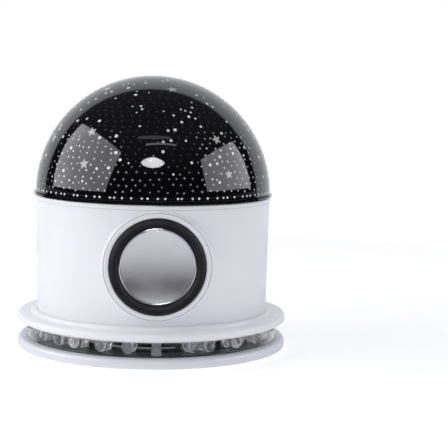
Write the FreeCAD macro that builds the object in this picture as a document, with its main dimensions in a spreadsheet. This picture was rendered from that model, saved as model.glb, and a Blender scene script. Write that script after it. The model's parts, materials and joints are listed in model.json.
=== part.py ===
import FreeCAD, Part
import math
import os
import re
import Sketcher
from fcgear import fcgear, involute

# Bedside star projector: a round base with a lit clear ring, a drum with a speaker in its front,
# and a glossy star dome that a motor turns over a lamp and that lifts off.
# Millimetres. The origin is on the surface it stands on, under the drum's axis.
# +Z is up and the speaker faces -Y.

sizes = {
    # base plate and feet
    "base_radius": 60.0,
    "base_tall": 4.2,
    "base_floor": 2.0,
    "base_top_round": 1.8,
    "base_edge_round": 0.8,
    "foot_count": 4,
    "foot_radius": 5.0,
    "foot_inset": 14.0,
    "foot_tall": 1.6,
    "foot_sink": 0.6,
    # lit ring, its board and its lamps
    "ring_inset": 4.2,
    "ring_wall": 1.7,
    "ring_sink": 1.2,
    "ring_window": 6.5,
    "ring_tuck": 1.5,
    "led_board_wide": 16.8,
    "led_board_ledge": 4.0,
    "board_thick": 1.6,
    "led_count": 27,
    "led_radius": 2.5,
    "led_flange_radius": 2.9,
    "led_flange_thick": 1.0,
    "led_long": 8.6,
    "led_height": 3.0,
    "led_inset": 0.5,
    "leg_pitch": 2.54,
    "leg_width": 0.5,
    "leg_run": 1.2,
    "receiver_wide": 4.0,
    "receiver_deep": 3.4,
    "receiver_tall": 5.0,
    "receiver_eye_radius": 1.3,
    "receiver_inset": 2.2,
    # upper flange
    "flange_lip_inset": 2.7,
    "flange_chamfer": 1.2,
    "flange_tall": 4.1,
    "flange_round": 1.2,
    "flange_floor": 2.6,
    "flange_bore": 12.0,
    "foot_ring_inset": 5.8,
    "foot_ring_tall": 1.6,
    "foot_ring_slope": 0.8,
    # drum and collar
    "drum_inset": 8.75,
    "drum_flare": 0.75,
    "drum_wall": 2.2,
    "drum_tall": 51.1,
    "collar_proud": 0.35,
    "collar_tall": 2.3,
    "collar_groove": 0.3,
    "collar_groove_deep": 0.6,
    "collar_spigot": 1.3,
    "post_inset": 11.25,
    "post_radius": 3.6,
    "post_rib": 2.4,
    "post_top_drop": 6.6,
    # speaker opening in the drum
    "speaker_height": 41.5,
    "boss_proud": 0.2,
    "boss_radius": 23.3,
    "boss_round": 0.7,
    "bezel_radius": 22.4,
    "bezel_bore": 20.3,
    "bezel_thick": 1.9,
    "bezel_sink": 1.6,
    "bezel_round": 0.5,
    "speaker_web": 1.6,
    # speaker
    "gasket_thick": 0.4,
    "basket_radius": 20.9,
    "basket_sheet": 0.8,
    "basket_shoulder_radius": 18.9,
    "basket_shoulder_deep": 5.4,
    "basket_cup_radius": 15.0,
    "basket_cup_deep": 5.0,
    "basket_vent_wide": 12.0,
    "basket_vent_tall": 2.6,
    "disc_radius": 16.1,
    "disc_thick": 0.6,
    "disc_dish": 0.5,
    "disc_rim": 0.8,
    "cone_radius": 16.9,
    "cone_sheet": 0.5,
    "cone_deep": 6.0,
    "roll_radius": 2.0,
    "roll_sheet": 0.6,
    "coil_radius": 5.95,
    "coil_sheet": 0.3,
    "coil_long": 12.5,
    "coil_gap": 0.25,
    "spider_sheet": 0.4,
    "plate_radius": 12.0,
    "plate_thick": 2.2,
    "magnet_radius": 13.5,
    "magnet_bore": 7.5,
    "magnet_thick": 5.0,
    "yoke_thick": 2.5,
    # turntable, its gear and the dome
    "turn_gap": 0.3,
    "bearing_gap": 0.07,
    "turntable_proud": 1.1,
    "turntable_plate": 0.8,
    "turntable_ledge": 7.1,
    "skirt_inset": 3.9,
    "skirt_wall": 1.6,
    "lip_tall": 3.0,
    "lip_wall": 1.8,
    "clip_thick": 0.5,
    "clip_sink": 0.6,
    "clip_reach": 1.2,
    "clip_opening": 14.0,
    "tooth_module": 0.8,
    "gear_rim": 2.5,
    "pinion_teeth": 14,
    "gear_tall": 4.0,
    "pinion_tall": 3.6,
    "dome_proud": 0.2,
    "dome_wall": 1.8,
    "dome_drop": 0.5,
    # deck and motor
    "deck_thick": 1.8,
    "deck_edge_gap": 0.5,
    "deck_front_inset": 10.0,
    "motor_radius": 14.0,
    "motor_tall": 17.0,
    "motor_offset": 8.0,
    "motor_plate_thick": 0.8,
    "motor_ear_reach": 17.5,
    "motor_ear_radius": 3.6,
    "motor_neck_radius": 4.5,
    "motor_neck_tall": 1.4,
    "shaft_radius": 2.5,
    "shaft_below": 6.0,
    "shaft_gap": 0.05,
    # lamp
    "lamp_post_radius": 6.0,
    "lamp_post_foot_radius": 10.0,
    "lamp_post_wall": 1.6,
    "lamp_post_tall": 2.4,
    "sink_radius": 16.0,
    "sink_tall": 5.4,
    "sink_floor": 1.6,
    "sink_fin": 1.0,
    "sink_slot": 1.8,
    "lamp_board_radius": 13.0,
    "lamp_board_thick": 1.2,
    "emitter_wide": 3.4,
    "emitter_tall": 0.8,
    "emitter_pitch": 4.4,
    "lens_radius": 8.0,
    "lens_foot": 1.2,
    "lens_wall": 1.2,
    # boards in the drum
    "main_board_wide": 50.0,
    "main_board_deep": 40.0,
    "main_board_back": 4.0,
    "standoff_tall": 4.0,
    "standoff_radius": 3.0,
    "standoff_inset": 4.0,
    "chip_wide": 10.0,
    "chip_thick": 1.6,
    "capacitor_radius": 4.0,
    "capacitor_tall": 11.0,
    "connector_wide": 7.5,
    "connector_deep": 5.7,
    "connector_tall": 6.0,
    "wire_radius": 0.6,
    "wire_bend": 4.0,
    "lamp_wire_drop": 14.0,
    # rear controls
    "rear_height": 32.0,
    "rear_boss_wide": 34.0,
    "rear_boss_tall": 26.0,
    "panel_wide": 30.0,
    "panel_tall": 22.0,
    "panel_thick": 1.5,
    "panel_frame": 2.0,
    "panel_peg": 7.0,
    "panel_peg_radius": 1.5,
    "panel_peg_inset": 3.6,
    "control_board_thick": 1.2,
    "control_board_gap": 0.5,
    "button_radius": 2.5,
    "button_gap": 0.1,
    "button_pitch": 7.6,
    "button_rise": 2.2,
    "button_proud": 0.8,
    "button_flange": 0.8,
    "button_flange_thick": 0.8,
    "button_travel": 0.5,
    "stem_radius": 1.4,
    "switch_wide": 6.0,
    "switch_tall": 3.4,
    "plunger_radius": 1.6,
    "plunger_tall": 0.9,
    "inlet_wide": 8.9,
    "inlet_tall": 3.3,
    "inlet_sheet": 0.3,
    "inlet_fall": 5.0,
    "inlet_setback": 0.2,
    "inlet_tongue_wide": 6.7,
    "inlet_tongue_thick": 0.7,
    "inlet_floor": 1.4,
    # fasteners and fits
    "screw_radius": 1.5,
    "screw_head_radius": 2.75,
    "screw_head_tall": 2.0,
    "small_screw_radius": 1.0,
    "small_head_radius": 1.9,
    "small_head_tall": 1.3,
    "boss_wall": 2.5,
    "base_screw_inset": 30.0,
    "screw_bite": 6.0,
    "close_gap": 0.05,
    "fit_gap": 0.15,
    "loose_gap": 0.3,
}

# heights above the surface that the part stands on, and radii that several pieces share
worked = {
    "base_level": "foot_tall - foot_sink",
    "base_top": "base_level + base_tall",
    "ledge_level": "base_top - ring_sink",
    "led_board_top": "ledge_level + board_thick",
    "flange_level": "base_top + ring_window",
    "ring_top": "flange_level + ring_tuck",
    "ring_radius": "base_radius - ring_inset",
    "ring_bore": "ring_radius - ring_wall",
    "led_board_radius": "ring_bore - loose_gap",
    "led_board_bore": "led_board_radius - led_board_wide",
    "foot_circle": "base_radius - foot_inset",
    "base_screw_circle": "base_radius - base_screw_inset",
    "flange_lip_radius": "base_radius - flange_lip_inset",
    "foot_ring_radius": "base_radius - foot_ring_inset",
    "drum_foot_radius": "base_radius - drum_inset",
    "drum_top_radius": "drum_foot_radius + drum_flare",
    "collar_radius": "drum_top_radius + collar_proud",
    "post_circle": "drum_foot_radius - post_inset",
    "boss_reach": "drum_top_radius + boss_proud",
    "rear_reach": "drum_top_radius",
    "deck_front": "drum_top_radius - deck_front_inset",
    "turntable_radius": "drum_top_radius + turntable_proud",
    "skirt_radius": "drum_top_radius - skirt_inset",
    "turntable_bore": "skirt_radius - turntable_ledge",
    "dome_radius": "drum_top_radius + dome_proud",
    "drum_level": "flange_level + flange_floor + loose_gap + loose_gap / 2",
    "drum_top": "drum_level + drum_tall",
    "collar_top": "drum_top + collar_tall",
    "spigot_level": "drum_top - collar_spigot",
    "spigot_radius": "drum_top_radius - drum_wall - fit_gap",
    "turntable_level": "collar_top + turn_gap",
    "dome_level": "turntable_level + turntable_plate",
    "clip_level": "spigot_level - turn_gap - clip_thick",
    "skirt_level": "clip_level - fit_gap",
    "skirt_bore": "skirt_radius - skirt_wall",
    "gear_level": "skirt_level + turn_gap",
    "deck_top": "drum_top - post_top_drop + deck_thick",
    "deck_level": "drum_top - post_top_drop",
    "speaker_level": "base_level + speaker_height",
    "rear_level": "base_level + rear_height",
    "ring_teeth": "round((skirt_bore - gear_rim) * 2 / tooth_module)",
    "ring_pitch_radius": "tooth_module * ring_teeth / 2",
    "pinion_pitch_radius": "tooth_module * pinion_teeth / 2",
    "shaft_place": "ring_pitch_radius - pinion_pitch_radius",
    "motor_place": "shaft_place - motor_offset",
    "sink_level": "deck_top + lamp_post_tall",
    "lamp_board_level": "sink_level + sink_tall",
    "emitter_level": "lamp_board_level + lamp_board_thick",
    "main_board_level": "drum_level + standoff_tall",
    "main_board_top": "main_board_level + board_thick",
    "base_boss_top": "base_level + base_floor + screw_head_tall + boss_wall",
}

# counts, angles and shares
post_count = 4
post_turn = 45
base_screw_count = 4
base_screw_turn = 0
led_board_screw_count = 3
led_board_screw_circle_share = 1.5
pressure_angle = 20
ring_addendum_share = 0.7
pinion_addendum_share = 1.0
dedendum_share = 1.25
root_round_share = 0.3
backlash_shift_share = 0.06
sink_slot_count = 5
lamp_screw_count = 2
lamp_screw_circle_share = 0.78
tongue_reach_share = 0.8
capacitor_place_shares = [(-0.36, 0.22), (-0.36, -0.12)]
chip_place_shares = [(0.0, -0.1), (0.22, 0.25)]
connector_place_shares = [(0.0, -0.36), (0.38, 0.02), (0.0, 0.36)]
# how far each lamp beside the receiver leans round the ring from its even place, in degrees
led_leans = {-5: 1.6, -4: 1.9, -3: -1.4, 1: 4.2, 2: -0.9, 3: 2.1, 4: 4.4}

doc = FreeCAD.newDocument("StarProjector")
pieces = []


def add_sheet(name, cells, spell_out):
    sheet = doc.addObject("Spreadsheet::Sheet", name)
    for row, (alias, content) in enumerate(cells.items(), start=1):
        sheet.set(f"A{row}", alias)
        sheet.set(f"B{row}", spell_out(content))
        sheet.setAlias(f"B{row}", alias)
    doc.recompute()
    return sheet


def spell(expression):
    """Put the sheet's name before each alias in an expression."""

    def word(match):
        name = match[0]
        if name in sizes:
            return f"Sizes.{name}"
        return f"Worked.{name}" if name in worked else name

    return re.sub(r"[A-Za-z_]\w*", word, str(expression))


def spell_worked(expression):
    """The same inside the second sheet, where its own aliases stand bare."""

    def word(match):
        return f"Sizes.{match[0]}" if match[0] in sizes else match[0]

    return "=" + re.sub(r"[A-Za-z_]\w*", word, expression)


size_sheet = add_sheet("Sizes", sizes, str)
worked_sheet = add_sheet("Worked", worked, spell_worked)


def value(expression):
    return float(size_sheet.evalExpression(spell(expression)))


def new_body(label, parts=1):
    body = doc.addObject("PartDesign::Body", label)
    body.Label = label
    body.AllowCompound = parts > 1
    pieces.append(body)
    return body


def place(body, x="0", y="0", z="0", turn=None):
    """Stand a sub-part at a bound place, turned as (axis, degrees)."""
    if turn:
        body.Placement = FreeCAD.Placement(FreeCAD.Vector(), FreeCAD.Rotation(*turn))
    for axis, distance in (("x", x), ("y", y), ("z", z)):
        if distance != "0":
            body.setExpression(f"Placement.Base.{axis}", spell(distance))
    return body


TO_FRONT = (FreeCAD.Vector(1, 0, 0), 90)
TO_REAR = (FreeCAD.Vector(0, 1, 1), 180)


def origin_part(body, role):
    return next(part for part in body.Origin.OriginFeatures if part.Role == role)


def new_sketch(body, name, role, offset="0"):
    sketch = body.newObject("Sketcher::SketchObject", f"{body.Label}_{name}")
    sketch.AttachmentSupport = [(origin_part(body, role), "")]
    sketch.MapMode = "FlatFace"
    if offset != "0":
        sketch.AttachmentOffset = FreeCAD.Placement(
            FreeCAD.Vector(0, 0, value(offset)), FreeCAD.Rotation()
        )
        sketch.setExpression("AttachmentOffset.Base.z", spell(offset))
    return sketch


def bind(sketch, kind, *where):
    """Add a dimension whose last item is its expression."""
    expression = where[-1]
    index = sketch.addConstraint(Sketcher.Constraint(kind, *where[:-1], value(expression)))
    sketch.setExpression(f"Constraints[{index}]", spell(expression))


def pin_point(sketch, geometry, end, x, y):
    """Fix one point of the sketch; a coordinate of None is left to the curve it lies on."""
    for kind, coordinate, axis in (("DistanceX", x, -2), ("DistanceY", y, -1)):
        if coordinate == "0":
            sketch.addConstraint(Sketcher.Constraint("PointOnObject", geometry, end, axis))
        elif coordinate is not None:
            bind(sketch, kind, -1, 1, geometry, end, coordinate)


def on_arc(point, arc):
    """Work out the coordinate that a corner leaves to the arc beside it."""
    x, y = point[0], point[1]
    centre_x, centre_y, radius = (value(item) for item in arc[1:4])
    if x is None:
        rise = value(y) - centre_y
        return centre_x + math.sqrt(radius**2 - rise**2), value(y)
    if y is None:
        run = value(x) - centre_x
        return value(x), centre_y + math.sqrt(radius**2 - run**2)
    return value(x), value(y)


def draw_circle(sketch, x, y, radius):
    centre = FreeCAD.Vector(value(x), value(y), 0)
    circle = Part.Circle(centre, FreeCAD.Vector(0, 0, 1), value(radius))
    geometry = sketch.addGeometry(circle, False)
    bind(sketch, "Radius", geometry, radius)
    pin_point(sketch, geometry, 3, x, y)


def draw_box(sketch, x, y, wide, tall):
    left, right = f"{x} - ({wide}) / 2", f"{x} + ({wide}) / 2"
    low, high = f"{y} - ({tall}) / 2", f"{y} + ({tall}) / 2"
    draw_outline(sketch, [(left, low), (right, low), (right, high), (left, high)])


def draw_outline(sketch, items):
    """Closed outline. An item is (x, y), (x, y, rounding), or ("arc", x, y, radius, way) between two."""
    corners = [item for item in items if item[0] != "arc"]
    arcs = {}
    for index, item in enumerate(items):
        if item[0] == "arc":
            arcs[sum(1 for other in items[:index] if other[0] != "arc") - 1] = item
    count = len(corners)
    spots = []
    for index, corner in enumerate(corners):
        beside = arcs.get(index) or arcs.get((index - 1) % count)
        x, y = on_arc(corner, beside) if beside else (value(corner[0]), value(corner[1]))
        spots.append(FreeCAD.Vector(x, y, 0))
    starts, ends = list(spots), list(spots)
    rounds = {}
    for index, corner in enumerate(corners):
        if len(corner) == 3:
            rounds[index] = rounding(spots, index, value(corner[2]))
            ends[index], starts[index] = rounds[index][0], rounds[index][1]
    sides = []
    for index in range(count):
        after = (index + 1) % count
        if index in arcs:
            known = sum(item is not None for item in corners[index] + corners[after])
            sides.append(add_arc(sketch, arcs[index], starts[index], ends[after], known))
        else:
            line = sketch.addGeometry(Part.LineSegment(starts[index], ends[after]), False)
            sides.append((line, 1, 2))
    for index, corner in enumerate(corners):
        before = sides[index - 1]
        after = sides[index]
        if index in rounds:
            join_round(sketch, rounds[index], before, after, corner, spots[index])
        else:
            join = Sketcher.Constraint("Coincident", before[0], before[2], after[0], after[1])
            sketch.addConstraint(join)
            pin_point(sketch, after[0], after[1], corner[0], corner[1])


def rounding(spots, index, radius):
    """Tangent points, centre and sense of a rounded corner."""
    here = spots[index]
    back = (spots[index - 1] - here).normalize()
    ahead = (spots[(index + 1) % len(spots)] - here).normalize()
    half = back.getAngle(ahead) / 2
    reach = radius / math.tan(half)
    centre = here + (back + ahead).normalize() * (radius / math.sin(half))
    left_turn = (here - spots[index - 1]).cross(ahead).z > 0
    return here + back * reach, here + ahead * reach, centre, radius, left_turn


def join_round(sketch, turn, before, after, corner, spot):
    first, last, centre, radius, left_turn = turn
    if not left_turn:
        first, last = last, first
    circle = Part.Circle(centre, FreeCAD.Vector(0, 0, 1), radius)
    arc = Part.ArcOfCircle(circle, circle.parameter(first), circle.parameter(last))
    geometry = sketch.addGeometry(arc, False)
    enter, leave = (1, 2) if left_turn else (2, 1)
    sketch.addConstraint(
        Sketcher.Constraint("Tangent", before[0], before[2], geometry, enter)
    )
    sketch.addConstraint(Sketcher.Constraint("Tangent", geometry, leave, after[0], after[1]))
    bind(sketch, "Radius", geometry, corner[2])
    tip = sketch.addGeometry(Part.Point(spot), True)
    sketch.addConstraint(Sketcher.Constraint("PointOnObject", tip, 1, before[0]))
    sketch.addConstraint(Sketcher.Constraint("PointOnObject", tip, 1, after[0]))
    pin_point(sketch, tip, 1, corner[0], corner[1])


def add_arc(sketch, item, start, end, known):
    """Add an arc; the more coordinates of its ends are known, the less else is bound."""
    x, y, radius, way = item[1:]
    circle = Part.Circle(
        FreeCAD.Vector(value(x), value(y), 0), FreeCAD.Vector(0, 0, 1), value(radius)
    )
    first, last = (start, end) if way == "left" else (end, start)
    arc = Part.ArcOfCircle(circle, circle.parameter(first), circle.parameter(last))
    geometry = sketch.addGeometry(arc, False)
    if known == 2:
        bind(sketch, "Radius", geometry, radius)
    pin_point(sketch, geometry, 3, x if known < 4 else None, y)
    return (geometry, 1, 2) if way == "left" else (geometry, 2, 1)


def spin(body, name, outline, kind="Revolution"):
    """Turn an outline of (radius, height) about the body's Z axis, as solid or as a cut."""
    sketch = new_sketch(body, f"{name}_outline", "XZ_Plane")
    draw_outline(sketch, outline)
    feature = body.newObject(f"PartDesign::{kind}", f"{body.Label}_{name}")
    feature.Profile = sketch
    feature.ReferenceAxis = (sketch, ["V_Axis"])
    feature.Angle = 360
    return feature


def turned(label, outline, level="0"):
    body = new_body(label)
    spin(body, "turned", outline)
    return place(body, z=level)


def sketch_of(body, name, shapes, role, offset):
    sketch = new_sketch(body, f"{name}_outline", role, offset)
    drawers = {"circle": draw_circle, "box": draw_box, "outline": draw_outline}
    for kind, *measures in shapes:
        drawers[kind](sketch, *measures)
    return sketch


def pad(body, name, shapes, length, role="XY_Plane", offset="0", back=False):
    feature = body.newObject("PartDesign::Pad", f"{body.Label}_{name}")
    feature.Profile = sketch_of(body, name, shapes, role, offset)
    feature.setExpression("Length", spell(length))
    feature.Reversed = back
    return feature


def pocket(body, name, shapes, length, role="XY_Plane", offset="0", back=False):
    """Cut against the sketch's normal, or along it where back is set."""
    feature = body.newObject("PartDesign::Pocket", f"{body.Label}_{name}")
    feature.Profile = sketch_of(body, name, shapes, role, offset)
    feature.setExpression("Length", spell(length))
    feature.Reversed = back
    return feature


def round_place(circle, degrees):
    return f"{circle} * cos({degrees})", f"{circle} * sin({degrees})"


def ring_places(circle, count, turn=0):
    return [round_place(circle, turn + 360 * index / count) for index in range(count)]


def circles(places, radius):
    return [("circle", x, y, radius) for x, y in places]


def plain_disc(radius):
    return ("circle", "0", "0", radius)


def blocks(label, places, wide, deep, tall, level):
    body = new_body(label, len(places))
    pad(body, "block", [("box", x, y, wide, deep) for x, y in places], tall)
    return place(body, z=level)


def pegs(label, places, radius, tall, level):
    body = new_body(label, len(places))
    pad(body, "peg", circles(places, radius), tall)
    return place(body, z=level)


def screws(label, places, shank, small=False, **stand):
    """Screws in one node: heads from 0 down, shanks from 0 up the body's Z axis."""
    kind = "small" if small else "screw"
    head = f"{kind}_head_radius", f"{kind}_head_tall"
    thread = "small_screw_radius" if small else "screw_radius"
    body = new_body(label, len(places))
    pad(body, "heads", circles(places, head[0]), head[1], back=True)
    pad(body, "shanks", circles(places, thread), shank)
    return place(body, **stand)


def copies(label, pattern, placements):
    """One node of several like solids, which stand where the placements say."""
    doc.recompute()
    group = doc.addObject("Part::Feature", label)
    group.Label = label
    shapes = []
    for placement in placements:
        shape = pattern.Shape.copy()
        shape.Placement = placement
        shapes.append(shape)
    group.Shape = Part.makeCompound(shapes)
    group.Placement = FreeCAD.Placement()
    pieces.append(group)
    return group


# base plate with its ledge for the ring and board, foot recesses and screw bosses
def make_base():
    body = turned(
        "base_plate",
        [
            ("0", "0"),
            ("base_radius", "0", "base_edge_round"),
            ("base_radius", "base_tall", "base_top_round"),
            ("ring_radius + fit_gap", "base_tall"),
            ("ring_radius + fit_gap", "base_tall - ring_sink"),
            ("led_board_radius - led_board_ledge", "base_tall - ring_sink"),
            ("led_board_radius - led_board_ledge", "base_floor"),
            ("0", "base_floor"),
        ],
        "base_level",
    )
    places = ring_places("base_screw_circle", base_screw_count, base_screw_turn)
    bosses = circles(places, "screw_head_radius + boss_wall / 2")
    pad(body, "bosses", bosses, "base_boss_top - base_level - base_floor", offset="base_floor")
    holes = circles(places, "screw_radius + close_gap")
    pocket(body, "screw_holes", holes, "base_boss_top", back=True)
    heads = circles(places, "screw_head_radius + fit_gap")
    pocket(body, "head_holes", heads, "base_boss_top - base_level - boss_wall", back=True)
    board = circles(led_board_screw_places(), "small_head_radius + close_gap")
    pad(body, "board_bosses", board, "ledge_level - base_level - base_floor", offset="base_floor")
    threads = circles(led_board_screw_places(), "small_screw_radius + close_gap")
    top = "ledge_level - base_level"
    pocket(body, "thread_holes", threads, f"{top} - base_floor / 2", offset=top)
    feet = circles(ring_places("foot_circle", sizes["foot_count"], post_turn), "foot_radius + fit_gap")
    pocket(body, "foot_recesses", feet, "foot_sink", back=True)
    shank = "boss_wall + screw_bite - loose_gap"
    screws("base_screws", places, shank, z="base_boss_top - boss_wall")


def led_board_screw_places():
    circle = f"(led_board_bore + small_head_radius * {led_board_screw_circle_share})"
    return ring_places(circle, led_board_screw_count, post_turn)


def make_feet():
    places = ring_places("foot_circle", sizes["foot_count"], post_turn)
    pegs("rubber_feet", places, "foot_radius", "foot_tall", "0")


# the clear ring and the board and lamps behind it
def make_lit_ring():
    turned(
        "light_ring",
        [
            ("ring_bore", "0"),
            ("ring_radius", "0"),
            ("ring_radius", "ring_top - ledge_level"),
            ("ring_bore", "ring_top - ledge_level"),
        ],
        "ledge_level",
    )
    board = new_body("led_board")
    pad(board, "ring", [plain_disc("led_board_radius"), plain_disc("led_board_bore")], "board_thick")
    holes = circles(led_board_screw_places(), "small_screw_radius + close_gap")
    pocket(board, "screw_holes", holes, "board_thick", back=True)
    place(board, z="ledge_level")
    shank = "board_thick + ledge_level - base_level - base_floor - close_gap"
    screw_level = "led_board_top"
    turned_over = (FreeCAD.Vector(1, 0, 0), 180)
    mirrored = [(x, f"-({y})") for x, y in led_board_screw_places()]
    screws("led_board_screws", mirrored, shank, small=True, z=screw_level, turn=turned_over)


def led_places():
    """Where each ring lamp's flange stands, its axis pointing outwards, clear of the receiver."""
    step = 360 / value("led_count")
    half = int(value("led_count")) // 2
    reach = value("ring_bore - led_inset - led_long")
    height = value("led_board_top + led_height")
    for index in range(-half, int(value("led_count")) - half):
        if index == 0:
            continue
        degrees = index * step + led_leans.get(index, 0) - 90
        out = FreeCAD.Rotation(FreeCAD.Vector(0, 0, 1), degrees)
        spot = out.multVec(FreeCAD.Vector(reach, 0, 0)) + FreeCAD.Vector(0, 0, height)
        yield FreeCAD.Placement(spot, out)


def make_leds():
    lamp = doc.addObject("PartDesign::Body", "led_pattern")
    spin(
        lamp,
        "turned",
        [
            ("0", "0"),
            ("led_flange_radius", "0"),
            ("led_flange_radius", "led_flange_thick"),
            ("led_radius", "led_flange_thick"),
            ("led_radius", "led_long - led_radius"),
            ("arc", "0", "led_long - led_radius", "led_radius", "left"),
            ("0", None),
        ],
    )
    along_x = FreeCAD.Rotation(FreeCAD.Vector(0, 1, 0), 90)
    outward = [at * FreeCAD.Placement(FreeCAD.Vector(), along_x) for at in led_places()]
    copies("ring_leds", lamp, outward)
    leg = doc.addObject("PartDesign::Body", "leg_pattern")
    side = "leg_width / 2"
    pad(
        leg,
        "leg",
        [
            (
                "outline",
                [
                    ("0", side),
                    (f"-leg_run - {side}", side),
                    (f"-leg_run - {side}", "-led_height"),
                    (f"-leg_run + {side}", "-led_height"),
                    (f"-leg_run + {side}", f"-{side}"),
                    ("0", f"-{side}"),
                ],
            )
        ],
        "leg_width",
        role="XZ_Plane",
        offset=f"-{side}",
    )
    stands = []
    for at in led_places():
        for side_way in (-1, 1):
            aside = FreeCAD.Vector(0, side_way * value("leg_pitch") / 2, 0)
            stands.append(at * FreeCAD.Placement(aside, FreeCAD.Rotation()))
    copies("led_legs", leg, stands)


def make_receiver():
    body = new_body("ir_receiver")
    reach = "(led_board_radius - receiver_inset - receiver_deep)"
    case = [("box", "0", f"-{reach} - receiver_deep / 2", "receiver_wide", "receiver_deep")]
    pad(body, "case", case, "receiver_tall")
    eye = [("circle", "0", "receiver_tall / 2", "receiver_eye_radius")]
    pad(body, "eye", eye, "receiver_deep + receiver_eye_radius / 2", role="XZ_Plane", offset=reach)
    place(body, z="led_board_top")


# upper flange, which covers the ring and carries the drum
def make_flange():
    lip = "ring_radius + fit_gap"
    seat = "drum_foot_radius + fit_gap"
    floor = "drum_level - flange_level"
    body = turned(
        "flange_cover",
        [
            ("flange_bore", f"{floor} - flange_floor"),
            ("ring_bore - fit_gap", f"{floor} - flange_floor"),
            ("ring_bore - fit_gap", "ring_tuck"),
            (lip, "ring_tuck"),
            (lip, "0"),
            ("flange_lip_radius", "0", "base_edge_round"),
            ("base_radius", "flange_chamfer", "base_edge_round"),
            ("base_radius", "flange_tall", "flange_round"),
            ("foot_ring_radius", "flange_tall + loose_gap / 2"),
            ("foot_ring_radius - foot_ring_slope", "flange_tall + foot_ring_tall", "base_edge_round"),
            (seat, "flange_tall + foot_ring_tall"),
            (seat, floor),
            ("flange_bore", floor),
        ],
        "flange_level",
    )
    places = ring_places("base_screw_circle", base_screw_count, base_screw_turn)
    radius = "screw_head_radius + boss_wall / 2"
    drop = "drum_level - flange_floor - base_boss_top"
    pad(body, "legs", circles(places, radius), drop, offset="base_boss_top - flange_level")
    holes = circles(places, "screw_radius + close_gap")
    pocket(body, "leg_holes", holes, "screw_bite", offset="base_boss_top - flange_level", back=True)
    drum_holes = circles(post_places(), "screw_radius + close_gap")
    pocket(body, "drum_holes", drum_holes, "flange_tall", back=True)
    standoffs = circles(main_board_corners(), "standoff_radius")
    pad(body, "standoffs", standoffs, "standoff_tall", offset=floor)
    threads = circles(main_board_corners(), "small_screw_radius + close_gap")
    pocket(body, "standoff_holes", threads, "standoff_tall", offset=f"{floor} + standoff_tall")
    shank = "flange_floor + screw_bite - loose_gap"
    screws("drum_screws", post_places(), shank, z="drum_level - flange_floor")


def post_places():
    return ring_places("post_circle", post_count, post_turn)


def main_board_corners():
    across = "(main_board_wide / 2 - standoff_inset)"
    along = "(main_board_deep / 2 - standoff_inset)"
    return [
        (f"{x} * {across}", f"{y} * {along} + main_board_back")
        for x in (-1, 1)
        for y in (-1, 1)
    ]


# drum with a round boss for the speaker, a flat boss for the controls and four posts for the deck
def make_drum():
    body = turned(
        "drum_housing",
        [
            ("0", "0"),
            ("drum_foot_radius", "0"),
            ("drum_top_radius", "drum_tall"),
            ("0", "drum_tall"),
        ],
        "drum_level",
    )
    centre = "speaker_level - drum_level"
    front = "XZ_Plane"
    ring = [("circle", "0", centre, "boss_radius")]
    pad(body, "speaker_boss", ring, "boss_reach", role=front)
    rear = "rear_level - drum_level"
    block = [("box", "0", rear, "rear_boss_wide", "rear_boss_tall")]
    pad(body, "rear_boss", block, "rear_reach", role=front, back=True)
    spin(
        body,
        "inside",
        [
            ("0", "0"),
            ("drum_foot_radius - drum_wall", "0"),
            ("drum_top_radius - drum_wall", "drum_tall"),
            ("0", "drum_tall"),
        ],
        kind="Groove",
    )
    depth = "boss_reach - bezel_sink - speaker_web"
    bay = [("circle", "0", centre, "basket_radius + loose_gap")]
    pocket(body, "speaker_bay", bay, depth, role=front, back=True)
    opening = [("circle", "0", centre, "bezel_bore")]
    pocket(body, "speaker_hole", opening, "boss_reach", role=front, back=True)
    recess = [("circle", "0", centre, "bezel_radius + fit_gap")]
    pocket(body, "bezel_recess", recess, "bezel_sink", role=front, offset="boss_reach")
    panel = [("box", "0", rear, "panel_wide", "panel_tall")]
    pocket(body, "panel_recess", panel, "panel_thick", role=front, offset="-rear_reach", back=True)
    window = [("box", "0", rear, "panel_wide - panel_frame * 2", "panel_tall - panel_frame * 2")]
    pocket(body, "panel_window", window, "rear_reach", role=front)
    ribs = [post_rib(post_turn + 360 / post_count * index) for index in range(post_count)]
    pad(body, "ribs", ribs, "drum_tall - post_top_drop")
    posts = circles(post_places(), "post_radius")
    pad(body, "posts", posts, "drum_tall - post_top_drop")
    threads = circles(post_places(), "screw_radius + close_gap")
    pocket(body, "foot_threads", threads, "screw_bite", back=True)
    pocket(body, "deck_threads", threads, "screw_bite", offset="drum_tall - post_top_drop")
    soften(body, "boss_edge", on_speaker_boss, "boss_round")
    soften(body, "rear_edge", on_rear_boss, "boss_round")


def on_speaker_boss(edge):
    box = edge.BoundBox
    flat = abs(box.YMin - box.YMax) < value("close_gap")
    return flat and box.YMin < 0 and abs(box.XLength / 2 - value("boss_radius")) < value("close_gap")


def on_rear_boss(edge):
    box = edge.BoundBox
    middle = edge.CenterOfMass
    aside = abs(middle.x) > value("panel_wide + panel_frame / 2") / 2
    above = abs(middle.z - value("rear_level - drum_level")) > value("panel_tall + panel_frame / 2") / 2
    flat = abs(box.YMin - value("rear_reach")) < value("close_gap")
    return flat and abs(box.YMax - box.YMin) < value("close_gap") and (aside or above)


def post_rib(degrees):
    """Outline of the rib that joins a post to the drum's wall."""
    near, far = "post_circle", "(drum_foot_radius - drum_wall / 2)"
    half = "post_rib / 2"
    corners = []
    for reach, side in ((near, "-"), (far, "-"), (far, "+"), (near, "+")):
        x = f"{reach} * cos({degrees}) {'+' if side == '-' else '-'} {half} * sin({degrees})"
        y = f"{reach} * sin({degrees}) {side} {half} * cos({degrees})"
        corners.append((x, y))
    return ("outline", corners)


def edges_where(body, wanted):
    """Names of the edges of the body's last feature that pass a test."""
    doc.recompute()
    return [f"Edge{number}" for number, edge in enumerate(body.Tip.Shape.Edges, 1) if wanted(edge)]


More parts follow.
